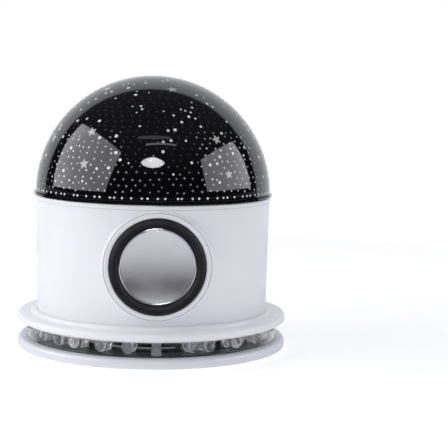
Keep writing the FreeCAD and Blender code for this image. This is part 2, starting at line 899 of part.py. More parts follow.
def soften(body, name, wanted, radius):
    base = body.Tip
    names = edges_where(body, wanted)
    fillet = body.newObject("PartDesign::Fillet", f"{body.Label}_{name}")
    fillet.Base = (base, names)
    fillet.setExpression("Radius", spell(radius))


def make_collar():
    groove_level = "collar_spigot + collar_groove"
    groove_radius = "collar_radius - collar_groove_deep"
    turned(
        "collar_ring",
        [
            ("skirt_radius + bearing_gap", "0"),
            ("spigot_radius", "0"),
            ("spigot_radius", "collar_spigot"),
            (groove_radius, "collar_spigot"),
            (groove_radius, groove_level),
            ("collar_radius", groove_level, "collar_groove"),
            ("collar_radius", "collar_spigot + collar_tall", "bezel_round"),
            ("skirt_radius + bearing_gap", "collar_spigot + collar_tall"),
        ],
        "spigot_level",
    )


# speaker: heights are measured forwards from the face of its boss
def make_speaker():
    web = "-bezel_sink - speaker_web"
    basket = f"({web} - gasket_thick)"
    shoulder = f"({basket} - basket_shoulder_deep)"
    cup = f"({shoulder} - basket_cup_deep)"
    roll_foot = "(-basket_sheet / 2)"
    bodies = [
        turned(
            "speaker_bezel",
            [
                ("bezel_bore", "-bezel_sink"),
                ("bezel_radius", "-bezel_sink"),
                ("bezel_radius", "bezel_thick - bezel_sink", "bezel_round"),
                ("bezel_bore", "bezel_thick - bezel_sink", "bezel_round"),
            ],
        ),
        turned(
            "speaker_gasket",
            [
                ("bezel_bore", basket),
                ("basket_radius", basket),
                ("basket_radius", web),
                ("bezel_bore", web),
            ],
        ),
        make_basket(basket, shoulder, cup),
        turned(
            "speaker_top_plate",
            [
                ("coil_radius + coil_gap", f"{cup} - plate_thick"),
                ("plate_radius", f"{cup} - plate_thick"),
                ("plate_radius", cup),
                ("coil_radius + coil_gap", cup),
            ],
        ),
        turned(
            "speaker_magnet",
            [
                ("magnet_bore", f"{cup} - plate_thick - magnet_thick"),
                ("magnet_radius", f"{cup} - plate_thick - magnet_thick", "bezel_round"),
                ("magnet_radius", f"{cup} - plate_thick", "bezel_round"),
                ("magnet_bore", f"{cup} - plate_thick"),
            ],
        ),
        turned(
            "speaker_yoke",
            [
                ("0", f"{cup} - plate_thick - magnet_thick - yoke_thick"),
                ("plate_radius", f"{cup} - plate_thick - magnet_thick - yoke_thick"),
                ("plate_radius", f"{cup} - plate_thick - magnet_thick"),
                ("coil_radius - coil_sheet - coil_gap", f"{cup} - plate_thick - magnet_thick"),
                ("coil_radius - coil_sheet - coil_gap", cup),
                ("0", cup),
            ],
        ),
        turned(
            "speaker_spider",
            [
                ("coil_radius", shoulder),
                ("basket_shoulder_radius - basket_sheet", shoulder),
                ("basket_shoulder_radius - basket_sheet", f"{shoulder} + spider_sheet"),
                ("coil_radius", f"{shoulder} + spider_sheet"),
            ],
        ),
        turned(
            "voice_coil",
            [
                ("coil_radius - coil_sheet", f"{roll_foot} - cone_deep - coil_long"),
                ("coil_radius", f"{roll_foot} - cone_deep - coil_long"),
                ("coil_radius", f"{roll_foot} - cone_deep"),
                ("coil_radius - coil_sheet", f"{roll_foot} - cone_deep"),
            ],
        ),
        turned(
            "speaker_cone",
            [
                ("coil_radius - coil_sheet", f"{roll_foot} - cone_deep"),
                ("coil_radius + cone_sheet", f"{roll_foot} - cone_deep"),
                ("disc_radius", f"{roll_foot} - cone_sheet"),
                ("cone_radius", f"{roll_foot} - cone_sheet"),
                ("cone_radius", roll_foot),
                ("disc_radius - disc_rim", roll_foot),
                ("coil_radius - coil_sheet", f"{roll_foot} - cone_deep + cone_sheet * 2"),
            ],
        ),
        turned(
            "speaker_disc",
            [
                ("0", f"{roll_foot} - disc_dish"),
                ("disc_radius - disc_rim * 2", roll_foot),
                ("disc_radius", roll_foot),
                ("disc_radius", f"{roll_foot} + disc_thick", "disc_thick / 4"),
                ("disc_radius - disc_rim", f"{roll_foot} + disc_thick"),
                ("0", f"{roll_foot} + disc_thick - disc_dish"),
            ],
        ),
        make_surround(roll_foot, basket),
    ]
    for body in bodies:
        place(body, y="-boss_reach", z="speaker_level", turn=TO_FRONT)


def make_basket(basket, shoulder, cup):
    inner = "basket_shoulder_radius - basket_sheet"
    body = turned(
        "speaker_basket",
        [
            ("coil_radius + coil_gap", cup),
            ("basket_cup_radius", cup),
            ("basket_cup_radius", f"{shoulder} - basket_sheet"),
            ("basket_shoulder_radius", f"{shoulder} - basket_sheet"),
            ("basket_shoulder_radius", f"{basket} - basket_sheet"),
            ("basket_radius", f"{basket} - basket_sheet"),
            ("basket_radius", basket),
            (inner, basket),
            (inner, shoulder),
            ("basket_cup_radius - basket_sheet", shoulder),
            ("basket_cup_radius - basket_sheet", f"{cup} + basket_sheet"),
            ("coil_radius + coil_gap", f"{cup} + basket_sheet"),
        ],
    )
    middle = f"({cup} + {shoulder}) / 2"
    for role in ("XZ_Plane", "YZ_Plane"):
        vent = [("box", "0", middle, "basket_vent_wide", "basket_vent_tall")]
        feature = pocket(body, f"vents_{role[:2]}", vent, "basket_radius * 2", role=role)
        feature.Midplane = True
    return body


def make_surround(roll_foot, basket):
    """Half roll of rubber between the disc and the basket, with a skirt down to the basket."""
    middle = "(disc_radius + fit_gap / 2 + roll_radius)"
    inner = "(roll_radius - roll_sheet)"
    return turned(
        "speaker_surround",
        [
            (f"{middle} - roll_radius", roll_foot),
            (f"{middle} - {inner}", roll_foot),
            ("arc", middle, roll_foot, inner, "right"),
            (f"{middle} + {inner}", roll_foot),
            (f"{middle} + {inner}", basket),
            (f"{middle} + roll_radius", basket),
            (f"{middle} + roll_radius", roll_foot),
            ("arc", middle, roll_foot, "roll_radius", "left"),
        ],
    )


# deck across the drum, under the turntable
def make_deck():
    body = new_body("inner_deck")
    radius = "drum_top_radius - drum_wall - deck_edge_gap"
    pad(body, "plate", [plain_disc(radius)], "deck_thick")
    front = [("box", "0", f"-deck_front - ({radius}) / 2", f"({radius}) * 2", radius)]
    pocket(body, "speaker_room", front, "deck_thick", back=True)
    neck = [("circle", "shaft_place", "0", "motor_neck_radius + fit_gap")]
    pocket(body, "motor_hole", neck, "deck_thick", back=True)
    holes = circles(post_places() + motor_ear_places(), "screw_radius + close_gap")
    pocket(body, "screw_holes", holes, "deck_thick", back=True)
    lamp = circles([("0", "0")], "lamp_post_radius - lamp_post_wall")
    pocket(body, "wire_hole", lamp, "deck_thick", back=True)
    threads = circles(lamp_post_screw_places(), "small_screw_radius + close_gap")
    pocket(body, "lamp_holes", threads, "deck_thick", back=True)
    place(body, z="deck_level")
    over = (FreeCAD.Vector(1, 0, 0), 180)
    places = [(x, f"-({y})") for x, y in post_places()]
    screws("deck_screws", places, "deck_thick + screw_bite - loose_gap", z="deck_top", turn=over)


def lamp_post_screw_places():
    return ring_places("(lamp_post_radius + lamp_post_foot_radius) / 2", post_count, post_turn)


def motor_ear_places():
    return [("motor_place", "-motor_ear_reach"), ("motor_place", "motor_ear_reach")]


def make_motor():
    can = new_body("motor_can")
    pad(can, "can", [("circle", "motor_place", "0", "motor_radius")], "motor_tall")
    shaft = [("circle", "shaft_place", "0", "shaft_radius + shaft_gap")]
    depth = "shaft_below + loose_gap"
    pocket(can, "shaft_hole", shaft, depth, offset="motor_tall")
    place(can, z="deck_level - motor_plate_thick - motor_tall")
    plate = new_body("motor_plate")
    ears = circles(motor_ear_places(), "motor_ear_radius")
    pad(plate, "plate", [("circle", "motor_place", "0", "motor_radius")], "motor_plate_thick")
    pad(plate, "ears", ears, "motor_plate_thick")
    bridge = [("box", "motor_place", "0", "motor_ear_radius * 2", "motor_ear_reach * 2")]
    pad(plate, "bridge", bridge, "motor_plate_thick")
    neck = [("circle", "shaft_place", "0", "motor_neck_radius")]
    pad(plate, "neck", neck, "motor_plate_thick + motor_neck_tall")
    pocket(plate, "shaft_hole", shaft, "motor_plate_thick + motor_neck_tall", back=True)
    holes = circles(motor_ear_places(), "screw_radius + close_gap")
    pocket(plate, "ear_holes", holes, "motor_plate_thick", back=True)
    place(plate, z="deck_level - motor_plate_thick")
    shank = "motor_plate_thick + deck_thick"
    level = "deck_level - motor_plate_thick"
    screws("motor_screws", motor_ear_places(), shank, z=level)
    pegs(
        "motor_shaft",
        [("shaft_place", "0")],
        "shaft_radius",
        "shaft_below + motor_plate_thick + gear_level - deck_level + pinion_tall",
        "deck_level - motor_plate_thick - shaft_below",
    )


def gear_outline(make, teeth, addendum):
    """Involute outline of a gear about Z, as a face."""
    builder = fcgear.FCWireBuilder()
    module = value("tooth_module")
    shift = backlash_shift_share if make is involute.CreateInternalGear else -backlash_shift_share
    make(builder, module, teeth, pressure_angle, True, addendum, dedendum_share, root_round_share, shift)
    return Part.Face(Part.Wire([edge.toShape() for edge in builder.wire]))


def add_shape(label, shape, placement):
    piece = doc.addObject("Part::Feature", label)
    piece.Label = label
    piece.Shape = shape
    piece.Placement = placement
    pieces.append(piece)


def make_gears():
    up = FreeCAD.Vector(0, 0, 1)
    outline = gear_outline(involute.CreateInternalGear, int(value("ring_teeth")), ring_addendum_share)
    room = outline.extrude(up * value("gear_tall"))
    ring = Part.makeCylinder(value("skirt_bore - close_gap"), value("gear_tall")).cut(room)
    level = FreeCAD.Vector(0, 0, value("gear_level"))
    add_shape("turntable_gear", ring, FreeCAD.Placement(level, FreeCAD.Rotation()))
    teeth = int(value("pinion_teeth"))
    outline = gear_outline(involute.CreateExternalGear, teeth, pinion_addendum_share)
    wheel = outline.extrude(up * value("pinion_tall"))
    bore = Part.makeCylinder(value("shaft_radius"), value("pinion_tall"))
    level = FreeCAD.Vector(value("shaft_place"), 0, value("gear_level"))
    half_tooth = FreeCAD.Rotation(up, 180 / teeth)
    add_shape("motor_pinion", wheel.cut(bore), FreeCAD.Placement(level, half_tooth))


def make_turntable():
    lip = "skirt_radius + lip_wall"
    body = turned(
        "turntable",
        [
            ("skirt_bore", "skirt_level - turntable_level"),
            ("skirt_radius", "skirt_level - turntable_level"),
            ("skirt_radius", "0"),
            ("turntable_radius", "0"),
            ("turntable_radius", "turntable_plate"),
            (lip, "turntable_plate"),
            (lip, "turntable_plate + lip_tall"),
            ("skirt_radius", "turntable_plate + lip_tall"),
            ("skirt_radius", "turntable_plate"),
            ("turntable_bore", "turntable_plate"),
            ("turntable_bore", "0"),
            ("skirt_bore", "0"),
        ],
        "turntable_level",
    )
    low = "clip_level - turntable_level"
    spin(
        body,
        "clip_groove",
        [
            ("skirt_radius - clip_sink", low),
            ("skirt_radius + clip_reach", low),
            ("skirt_radius + clip_reach", f"{low} + clip_thick"),
            ("skirt_radius - clip_sink", f"{low} + clip_thick"),
        ],
        kind="Groove",
    )
    clip = new_body("turntable_clip")
    rings = [plain_disc("skirt_radius + clip_reach"), plain_disc("skirt_radius - clip_sink + close_gap")]
    pad(clip, "ring", rings, "clip_thick")
    gap = [("box", "skirt_radius", "0", "clip_opening / 2", "clip_opening")]
    pocket(clip, "opening", gap, "clip_thick", back=True)
    place(clip, z="clip_level")


def make_dome():
    turned(
        "star_dome",
        [
            (None, "0"),
            ("arc", "0", "-dome_drop", "dome_radius", "left"),
            ("0", None),
            ("0", None),
            ("arc", "0", "-dome_drop", "dome_radius - dome_wall", "right"),
            (None, "0"),
        ],
        "dome_level",
    )


# the lamp on the deck, under the dome
def make_lamp():
    post = turned(
        "lamp_post",
        [
            ("lamp_post_radius - lamp_post_wall", "0"),
            ("lamp_post_foot_radius", "0"),
            ("lamp_post_foot_radius", "lamp_post_tall / 2"),
            ("lamp_post_radius", "lamp_post_tall / 2"),
            ("lamp_post_radius", "lamp_post_tall"),
            ("lamp_post_radius - lamp_post_wall", "lamp_post_tall"),
        ],
        "deck_top",
    )
    holes = circles(lamp_post_screw_places(), "small_screw_radius + close_gap")
    pocket(post, "screw_holes", holes, "lamp_post_tall", back=True)
    sink = new_body("heat_sink")
    pad(sink, "disc", [plain_disc("sink_radius")], "sink_tall")
    for index in range(sink_slot_count):
        x = f"(sink_slot + sink_fin) * {index - (sink_slot_count - 1) / 2}"
        slot = [("box", x, "0", "sink_slot", "sink_radius * 2")]
        pocket(sink, f"slot_{index}", slot, "sink_tall - sink_floor", back=True)
    pocket(sink, "wire_hole", [plain_disc("lamp_post_radius / 2")], "sink_tall", back=True)
    place(sink, z="sink_level")
    board = new_body("lamp_board")
    pad(board, "disc", [plain_disc("lamp_board_radius")], "lamp_board_thick")
    places = ring_places(f"(lamp_board_radius * {lamp_screw_circle_share})", lamp_screw_count)
    holes = circles(places, "small_screw_radius + close_gap")
    pocket(board, "screw_holes", holes, "lamp_board_thick", back=True)
    place(board, z="lamp_board_level")
    threads = circles(places, "small_screw_radius + close_gap")
    pocket(sink, "board_threads", threads, "sink_tall", offset="sink_tall")
    over = (FreeCAD.Vector(1, 0, 0), 180)
    shank = "lamp_board_thick + sink_floor"
    screws("lamp_screws", places, shank, small=True, z="emitter_level", turn=over)
    half = "emitter_pitch / 2"
    corners = [(f"{x} * {half}", f"{y} * {half}") for x in (-1, 1) for y in (-1, 1)]
    blocks("lamp_emitters", corners, "emitter_wide", "emitter_wide", "emitter_tall", "emitter_level")
    turned(
        "lamp_lens",
        [
            ("lens_radius - lens_wall", "0"),
            ("lens_radius", "0"),
            ("lens_radius", "lens_foot"),
            ("arc", "0", "lens_foot", "lens_radius", "left"),
            ("0", "lens_foot + lens_radius"),
            ("0", "lens_foot + lens_radius - lens_wall"),
            ("arc", "0", "lens_foot", "lens_radius - lens_wall", "right"),
            ("lens_radius - lens_wall", "lens_foot"),
        ],
        "emitter_level",
    )


# main board on the flange cover's standoffs
def make_main_board():
    board = new_body("main_board")
    sheet = [("box", "0", "main_board_back", "main_board_wide", "main_board_deep")]
    pad(board, "board", sheet, "board_thick")
    holes = circles(main_board_corners(), "small_screw_radius + close_gap")
    pocket(board, "screw_holes", holes, "board_thick", back=True)
    place(board, z="main_board_level")
    over = (FreeCAD.Vector(1, 0, 0), 180)
    places = [(x, f"-({y})") for x, y in main_board_corners()]
    shank = "board_thick + standoff_tall - loose_gap"
    screws("main_board_screws", places, shank, small=True, z="main_board_top", turn=over)

    def on_board(shares):
        return [
            (f"main_board_wide * {x}", f"main_board_deep * {y} + main_board_back") for x, y in shares
        ]

    chips = on_board(chip_place_shares)
    blocks("board_chips", chips, "chip_wide", "chip_wide", "chip_thick", "main_board_top")
    cans = on_board(capacitor_place_shares)
    pegs("board_capacitors", cans, "capacitor_radius", "capacitor_tall", "main_board_top")
    plugs = on_board(connector_place_shares)
    blocks("board_connectors", plugs, "connector_wide", "connector_deep", "connector_tall", "main_board_top")


def rounded_run(points, bend):
    """Straight runs joined by tangent arcs, as one wire."""
    edges = []
    start = points[0]
    for before, corner, after in zip(points, points[1:], points[2:]):
        back = (before - corner).normalize()
        ahead = (after - corner).normalize()
        half = back.getAngle(ahead) / 2
        middle = corner + (back + ahead).normalize() * (bend / math.sin(half) - bend)
        enter, leave = corner + back * (bend / math.tan(half)), corner + ahead * (bend / math.tan(half))
        edges += [Part.makeLine(start, enter), Part.Arc(enter, middle, leave).toShape()]
        start = leave
    edges.append(Part.makeLine(start, points[-1]))
    return Part.Wire(edges)


def lead(points, aside):
    """One insulated lead along points given as (x, y, z), moved aside along X."""
    spots = [FreeCAD.Vector(*(value(item) for item in point)) + aside for point in points]
    path = rounded_run(spots, value("wire_bend"))
    rim = Part.makeCircle(value("wire_radius"), spots[0], spots[1] - spots[0])
    return path.makePipeShell([Part.Wire(rim)], True, True)


def lead_pair(points):
    """Two leads side by side."""
    gap = FreeCAD.Vector(value("wire_radius + close_gap"), 0, 0)
    return [lead(points, -gap), lead(points, gap)]


def make_wires():
    speaker_plug, motor_plug, lamp_plug = (
        (f"main_board_wide * {x}", f"main_board_deep * {y} + main_board_back")
        for x, y in connector_place_shares
    )
    plug_top = "main_board_top + connector_tall"
    plug_middle = "main_board_top + connector_tall / 2"
    basket_face = "-boss_reach + bezel_sink + speaker_web + gasket_thick"
    cup_middle = f"{basket_face} + basket_shoulder_deep + basket_cup_deep / 2"
    cup_low = "speaker_level - basket_cup_radius"
    to_speaker = [
        ("0", cup_middle, cup_low),
        ("0", cup_middle, plug_middle),
        ("0", f"{speaker_plug[1]} - connector_deep / 2", plug_middle),
    ]
    add_shape("speaker_wires", Part.makeCompound(lead_pair(to_speaker)), FreeCAD.Placement())
    to_lamp = [
        ("0", "0", "lamp_board_level"),
        ("0", "0", "deck_level - lamp_wire_drop"),
        ("0", lamp_plug[1], "deck_level - lamp_wire_drop"),
        ("0", lamp_plug[1], plug_top),
    ]
    motor_low = "deck_level - motor_plate_thick - motor_tall"
    to_motor = [(*motor_plug, motor_low), (*motor_plug, plug_top)]
    leads = lead_pair(to_lamp) + lead_pair(to_motor)
    add_shape("deck_wires", Part.makeCompound(leads), FreeCAD.Placement())


# rear panel with its pegs, the board behind it, three buttons and the power inlet.
# Each is drawn in the panel's own plane: x is to the right seen from behind, turned to face +Y
def make_rear():
    panel = new_body("rear_panel")
    face = [("box", "0", "0", "panel_wide - fit_gap * 2", "panel_tall - fit_gap * 2")]
    pad(panel, "plate", face, "panel_thick", back=True)
    pegs_at = circles(panel_peg_places(), "panel_peg_radius")
    pad(panel, "pegs", pegs_at, "panel_thick + panel_peg", back=True)
    holes = circles(button_places(), "button_radius + button_gap")
    pocket(panel, "button_holes", holes, "panel_thick")
    slot = [("box", "0", "-inlet_fall", "inlet_wide + fit_gap * 2", "inlet_tall + fit_gap * 2")]
    pocket(panel, "inlet_hole", slot, "panel_thick")
    threads = circles(panel_peg_places(), "small_screw_radius / 2 + close_gap")
    pocket(panel, "peg_threads", threads, "panel_peg / 2", offset="-panel_thick - panel_peg", back=True)
    board = new_body("control_board")
    wide = "panel_wide - panel_frame * 2 - control_board_gap * 2"
    tall = "panel_tall - panel_frame * 2 - control_board_gap * 2"
    pad(board, "board", [("box", "0", "0", wide, tall)], "control_board_thick",
        offset="-panel_thick - panel_peg - control_board_thick")
    holes = circles(panel_peg_places(), "small_screw_radius / 2 + close_gap")
    pocket(board, "screw_holes", holes, "control_board_thick", offset="-panel_thick - panel_peg")
    fixings = new_body("control_screws", len(panel_peg_places()))
    back = "-panel_thick - panel_peg - control_board_thick"
    shanks = circles(panel_peg_places(), "small_screw_radius / 2")
    pad(fixings, "shanks", shanks, "control_board_thick + panel_peg / 2 - loose_gap", offset=back)
    heads = circles(panel_peg_places(), "small_screw_radius")
    pad(fixings, "heads", heads, "small_head_tall / 2", offset=back, back=True)
    switches = new_body("tact_switches", len(button_places()))
    base = "-panel_thick - panel_peg"
    cases = [("box", x, y, "switch_wide", "switch_wide") for x, y in button_places()]
    pad(switches, "cases", cases, "switch_tall", offset=base)
    wells = circles(button_places(), "plunger_radius + button_gap")
    pocket(switches, "wells", wells, "plunger_tall + button_travel", offset=f"{base} + switch_tall")
    faced = [panel, board, fixings, switches]
    faced += make_buttons(f"{base} + switch_tall") + make_inlet(base)
    for body in faced:
        place(body, y="rear_reach", z="rear_level", turn=TO_REAR)


def panel_peg_places():
    across = "(panel_wide / 2 - panel_frame - panel_peg_inset + panel_peg_radius)"
    along = "(panel_tall / 2 - panel_frame - panel_peg_inset + panel_peg_radius)"
    return [(f"{x} * {across}", f"{y} * {along}") for x in (-1, 1) for y in (-1, 1)]


def button_places():
    return [(x, "button_rise") for x in ("-button_pitch", "0", "button_pitch")]


def make_buttons(switch_face):
    bodies = []
    names = ("power_button", "light_button", "turn_button")
    for name, (x, y) in zip(names, button_places()):
        cap = new_body(name)
        pad(cap, "cap", [("circle", x, y, "button_radius")], "button_proud + panel_thick + button_gap",
            offset="-panel_thick - button_gap")
        flange = [("circle", x, y, "button_radius + button_flange")]
        pad(cap, "flange", flange, "button_flange_thick", offset="-panel_thick - button_gap", back=True)
        stem = [("circle", x, y, "stem_radius")]
        run = f"-panel_thick - button_gap - ({switch_face} + plunger_tall / 2)"
        pad(cap, "stem", stem, run, offset="-panel_thick - button_gap", back=True)
        plunger = new_body(name.replace("button", "plunger"))
        pad(plunger, "peg", [("circle", x, y, "plunger_radius")], "plunger_tall",
            offset=f"{switch_face} - plunger_tall / 2")
        bodies += [cap, plunger]
    return bodies


def make_inlet(base):
    shell = new_body("power_inlet")
    outer = [("box", "0", "-inlet_fall", "inlet_wide", "inlet_tall")]
    long = "panel_thick + panel_peg - inlet_setback"
    pad(shell, "shell", outer, long, offset=base)
    mouth = "inlet_wide - inlet_sheet * 2", "inlet_tall - inlet_sheet * 2"
    room = [("box", "0", "-inlet_fall", *mouth)]
    pocket(shell, "mouth", room, f"{long} - inlet_floor", offset="-inlet_setback")
    tongue = new_body("inlet_tongue")
    blade = [("box", "0", "-inlet_fall", "inlet_tongue_wide", "inlet_tongue_thick")]
    reach = f"({long} - inlet_floor) * {tongue_reach_share}"
    pad(tongue, "blade", blade, reach, offset=f"{base} + inlet_floor")
    return [shell, tongue]


def check_and_write():
    doc.recompute()
    for item in doc.Objects:
        bad = {"Invalid", "Error"} & set(item.State)
        if bad:
            raise RuntimeError(f"{item.Name} is {bad}")
    for piece in pieces:
        if piece.Shape.isNull() or not piece.Shape.isValid():
            raise RuntimeError(f"{piece.Label} has no valid shape")
    os.makedirs("parts", exist_ok=True)
    for piece in pieces:
        piece.Shape.exportStep(f"parts/{piece.Label}.step")
        solids = len(piece.Shape.Solids)
        print(f"{piece.Label}: {solids} solids, {piece.Shape.Volume:.1f} mm3")


make_base()
make_feet()
make_lit_ring()
make_leds()
make_receiver()
make_flange()
make_drum()
make_collar()
make_speaker()
make_deck()
make_motor()
make_gears()
make_turntable()
make_dome()
make_lamp()
make_main_board()
make_wires()
make_rear()
check_and_write()
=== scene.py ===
import json
import math
import bmesh
import bpy
import numpy as np
from mathutils import Matrix, Vector


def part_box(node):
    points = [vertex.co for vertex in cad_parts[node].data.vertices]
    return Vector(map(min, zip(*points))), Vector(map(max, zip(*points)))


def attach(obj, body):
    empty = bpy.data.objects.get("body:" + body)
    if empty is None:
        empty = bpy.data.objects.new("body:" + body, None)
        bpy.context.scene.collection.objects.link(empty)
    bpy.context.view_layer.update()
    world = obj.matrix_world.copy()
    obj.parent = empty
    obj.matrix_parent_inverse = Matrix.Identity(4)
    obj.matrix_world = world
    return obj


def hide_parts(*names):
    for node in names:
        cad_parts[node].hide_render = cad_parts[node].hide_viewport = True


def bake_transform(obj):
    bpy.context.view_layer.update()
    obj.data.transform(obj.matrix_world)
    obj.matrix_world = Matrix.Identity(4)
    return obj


# Bedside star projector: a white drum with a speaker, a lit clear ring in its base and a glossy star dome.
# Metres. The speaker faces -Y and everything turns about Z.
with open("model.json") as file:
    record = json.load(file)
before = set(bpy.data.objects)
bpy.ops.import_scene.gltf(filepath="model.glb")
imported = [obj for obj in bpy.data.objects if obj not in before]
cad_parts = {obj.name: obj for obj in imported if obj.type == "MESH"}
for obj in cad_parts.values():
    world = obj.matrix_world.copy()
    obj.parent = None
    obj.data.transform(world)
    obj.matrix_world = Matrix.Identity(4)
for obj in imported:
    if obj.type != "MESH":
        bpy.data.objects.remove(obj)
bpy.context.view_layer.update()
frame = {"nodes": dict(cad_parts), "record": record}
nodes = frame["nodes"]
print("frame loaded:", len(nodes), "nodes")


def newObject(name, data):
    thing = bpy.data.objects.new(name, data)
    bpy.context.scene.collection.objects.link(thing)
    return thing


# camera, at the photograph's place
photoCamera = {
    "lens": 110.77,  # millimetres on a 36 mm sensor
    "distance": 0.6161,  # from the drum's axis, level
    "around": 2.4,  # degrees to the left of straight ahead
    "height": 0.12364,
    "heading": 5.368,  # degrees to the right of +Y
    "down": 6.343,  # degrees
    "roll": 1.089,  # degrees
}


def addCamera(setup):
    around, heading, down, roll = (
        math.radians(setup[name]) for name in ("around", "heading", "down", "roll")
    )
    data = bpy.data.cameras.new("photoCamera")
    data.lens = setup["lens"]
    ahead = Vector((math.sin(heading) * math.cos(down), math.cos(heading) * math.cos(down), -math.sin(down)))
    level = Vector((math.cos(heading), -math.sin(heading), 0))
    upright = level.cross(ahead)
    right = math.cos(roll) * level + math.sin(roll) * upright
    up = math.cos(roll) * upright - math.sin(roll) * level
    turn = Matrix((right, up, -ahead)).transposed().to_4x4()
    place = Vector((-math.sin(around), -math.cos(around), 0)) * setup["distance"]
    place.z = setup["height"]
    camera = newObject("photoCamera", data)
    camera.matrix_world = Matrix.Translation(place) @ turn
    bpy.context.scene.camera = camera


addCamera(photoCamera)


# shader helpers
def addNode(tree, kind, sockets, **settings):
    # a socket's content is a plain value, or another node's output to link
    node = tree.nodes.new("ShaderNode" + kind)
    for name, content in settings.items():
        setattr(node, name, content)
    for name, content in sockets.items():
        if isinstance(content, bpy.types.NodeSocket):
            tree.links.new(content, node.inputs[name])
        else:
            node.inputs[name].default_value = content
    return node


def newFinish(name, color, roughness, **constants):
    # constants are the shader's other sockets, with _ for a space
    material = bpy.data.materials.new(name)
    material.use_nodes = True
    tree = material.node_tree
    shader = tree.nodes["Principled BSDF"]
    shader.inputs["Base Color"].default_value = (*color, 1)
    shader.inputs["Roughness"].default_value = roughness
    for socket, content in constants.items():
        shader.inputs[socket.replace("_", " ")].default_value = content
    return material, tree, shader


def objectPlace(tree):
    return addNode(tree, "TexCoord", {}).outputs["Object"]


def placeAlong(tree, axis):
    return addNode(tree, "SeparateXYZ", {"Vector": objectPlace(tree)}).outputs[axis]


def noise(tree, scale, detail, vector=None):
    sockets = {"Vector": vector or objectPlace(tree), "Scale": scale, "Detail": detail}
    return addNode(tree, "TexNoise", sockets).outputs["Fac"]


def spread(tree, factor, low, high, fromLow=0.3, fromHigh=0.7, **settings):
    sockets = {"Value": factor, "From Min": fromLow, "From Max": fromHigh, "To Min": low, "To Max": high}
    return addNode(tree, "MapRange", sockets, **settings).outputs["Result"]


def curve(tree, factor, stops):
    # a number that runs straight from one (position, number) stop to the next
    start, end = stops[0][0], stops[-1][0]
    ramp = addNode(tree, "ValToRGB", {"Fac": spread(tree, factor, 0.0, 1.0, start, end)})
    points = ramp.color_ramp.elements  # it starts with one at each end
    for position, _ in stops[1:-1]:
        points.new((position - start) / (end - start))
    for point, (_, level) in zip(points, stops):
        point.color = (level, level, level, 1)
    return ramp.outputs["Color"]


def blendColors(tree, factor, first, second):
    # mixes two colours, each a plain colour or an output
    mix = addNode(tree, "Mix", {}, data_type="RGBA")
    for socket, content in ((mix.inputs["Factor"], factor), (mix.inputs[6], first), (mix.inputs[7], second)):
        if isinstance(content, bpy.types.NodeSocket):
            tree.links.new(content, socket)
        else:
            socket.default_value = content if isinstance(content, float) else (*content, 1)
    return mix.outputs[2]


def worked(tree, operation, *terms):
    # one step of arithmetic, each term a number or an output
    return addNode(tree, "Math", dict(enumerate(terms)), operation=operation).outputs[0]


def bumpFrom(tree, shader, height, distance, strength=1.0):
    bump = addNode(tree, "Bump", {"Height": height, "Distance": distance, "Strength": strength})
    shade(tree, shader, "Normal", bump.outputs["Normal"])


def shade(tree, shader, socket, output):
    tree.links.new(output, shader.inputs[socket])


def cloudyColor(tree, shader, clouds, first, second):
    shade(tree, shader, "Base Color", blendColors(tree, spread(tree, clouds, 0, 1), first, second))


def unevenGloss(tree, shader, clouds, low, high):
    shade(tree, shader, "Roughness", spread(tree, clouds, low, high))


def radiusFrom(tree, axis="Z", centre=(0, 0, 0)):
    # distance from an upright axis, or from one that faces front
    moved = addNode(tree, "Mapping", {"Vector": objectPlace(tree), "Location": [-c for c in centre]})
    flat = (1, 1, 0) if axis == "Z" else (1, 0, 1)
    kept = addNode(tree, "VectorMath", {0: moved.outputs[0], 1: flat}, operation="MULTIPLY")
    return addNode(tree, "VectorMath", {0: kept.outputs[0]}, operation="LENGTH").outputs["Value"]


# finishes
def mouldedFinish(name, color, roughness, unevenness=0.04, grainSize=0.0004, grainDeep=4e-6, **constants):
    # moulded plastic: a faint cloudy tone, uneven gloss and a fine grain
    material, tree, shader = newFinish(name, color, roughness, **constants)
    cloudyColor(tree, shader, noise(tree, 40, 3), color, [c * (1 - unevenness) for c in color])
    unevenGloss(tree, shader, noise(tree, 90, 4), roughness * 0.85, roughness * 1.2)
    bumpFrom(tree, shader, noise(tree, 1 / grainSize, 2), grainDeep, 0.5)
    return material


def blackDomeFinish():
    # black print under a clear skin, whose gloss wavers very slightly
    material, tree, shader = newFinish("blackDome", (0.0025, 0.0025, 0.004), 0.04)
    unevenGloss(tree, shader, noise(tree, 60, 3), 0.03, 0.05)
    bumpFrom(tree, shader, noise(tree, 70, 1), 1.5e-5, 0.5)
    return material


def starWindowFinish():
    # clear windows in the print, with painted light: how brightly light shows through each one is painted
    # into its colour, from a value kept on its mesh
    material, tree, shader = newFinish("starWindow", (0.8, 0.82, 0.86), 0.12)
    bright = addNode(tree, "Attribute", {}, attribute_name="bright").outputs["Fac"]
    shade(tree, shader, "Base Color", blendColors(tree, bright, (0.02, 0.02, 0.025), (0.95, 0.96, 0.99)))
    bumpFrom(tree, shader, noise(tree, 900, 1), 1e-5, 0.4)
    return material


def clearFinish(name, color, roughness, index, clearness=1.0):
    # clear plastic or resin, with faint flow lines from moulding
    material, tree, shader = newFinish(name, color, roughness, Transmission_Weight=clearness, IOR=index)
    stretched = addNode(tree, "Mapping", {"Vector": objectPlace(tree), "Scale": (1, 1, 6)})
    bumpFrom(tree, shader, noise(tree, 60, 2, stretched.outputs[0]), 3e-5, 0.35)
    return material


boardPrint = {"trackPitch": 0.0021, "trackShare": 0.32}


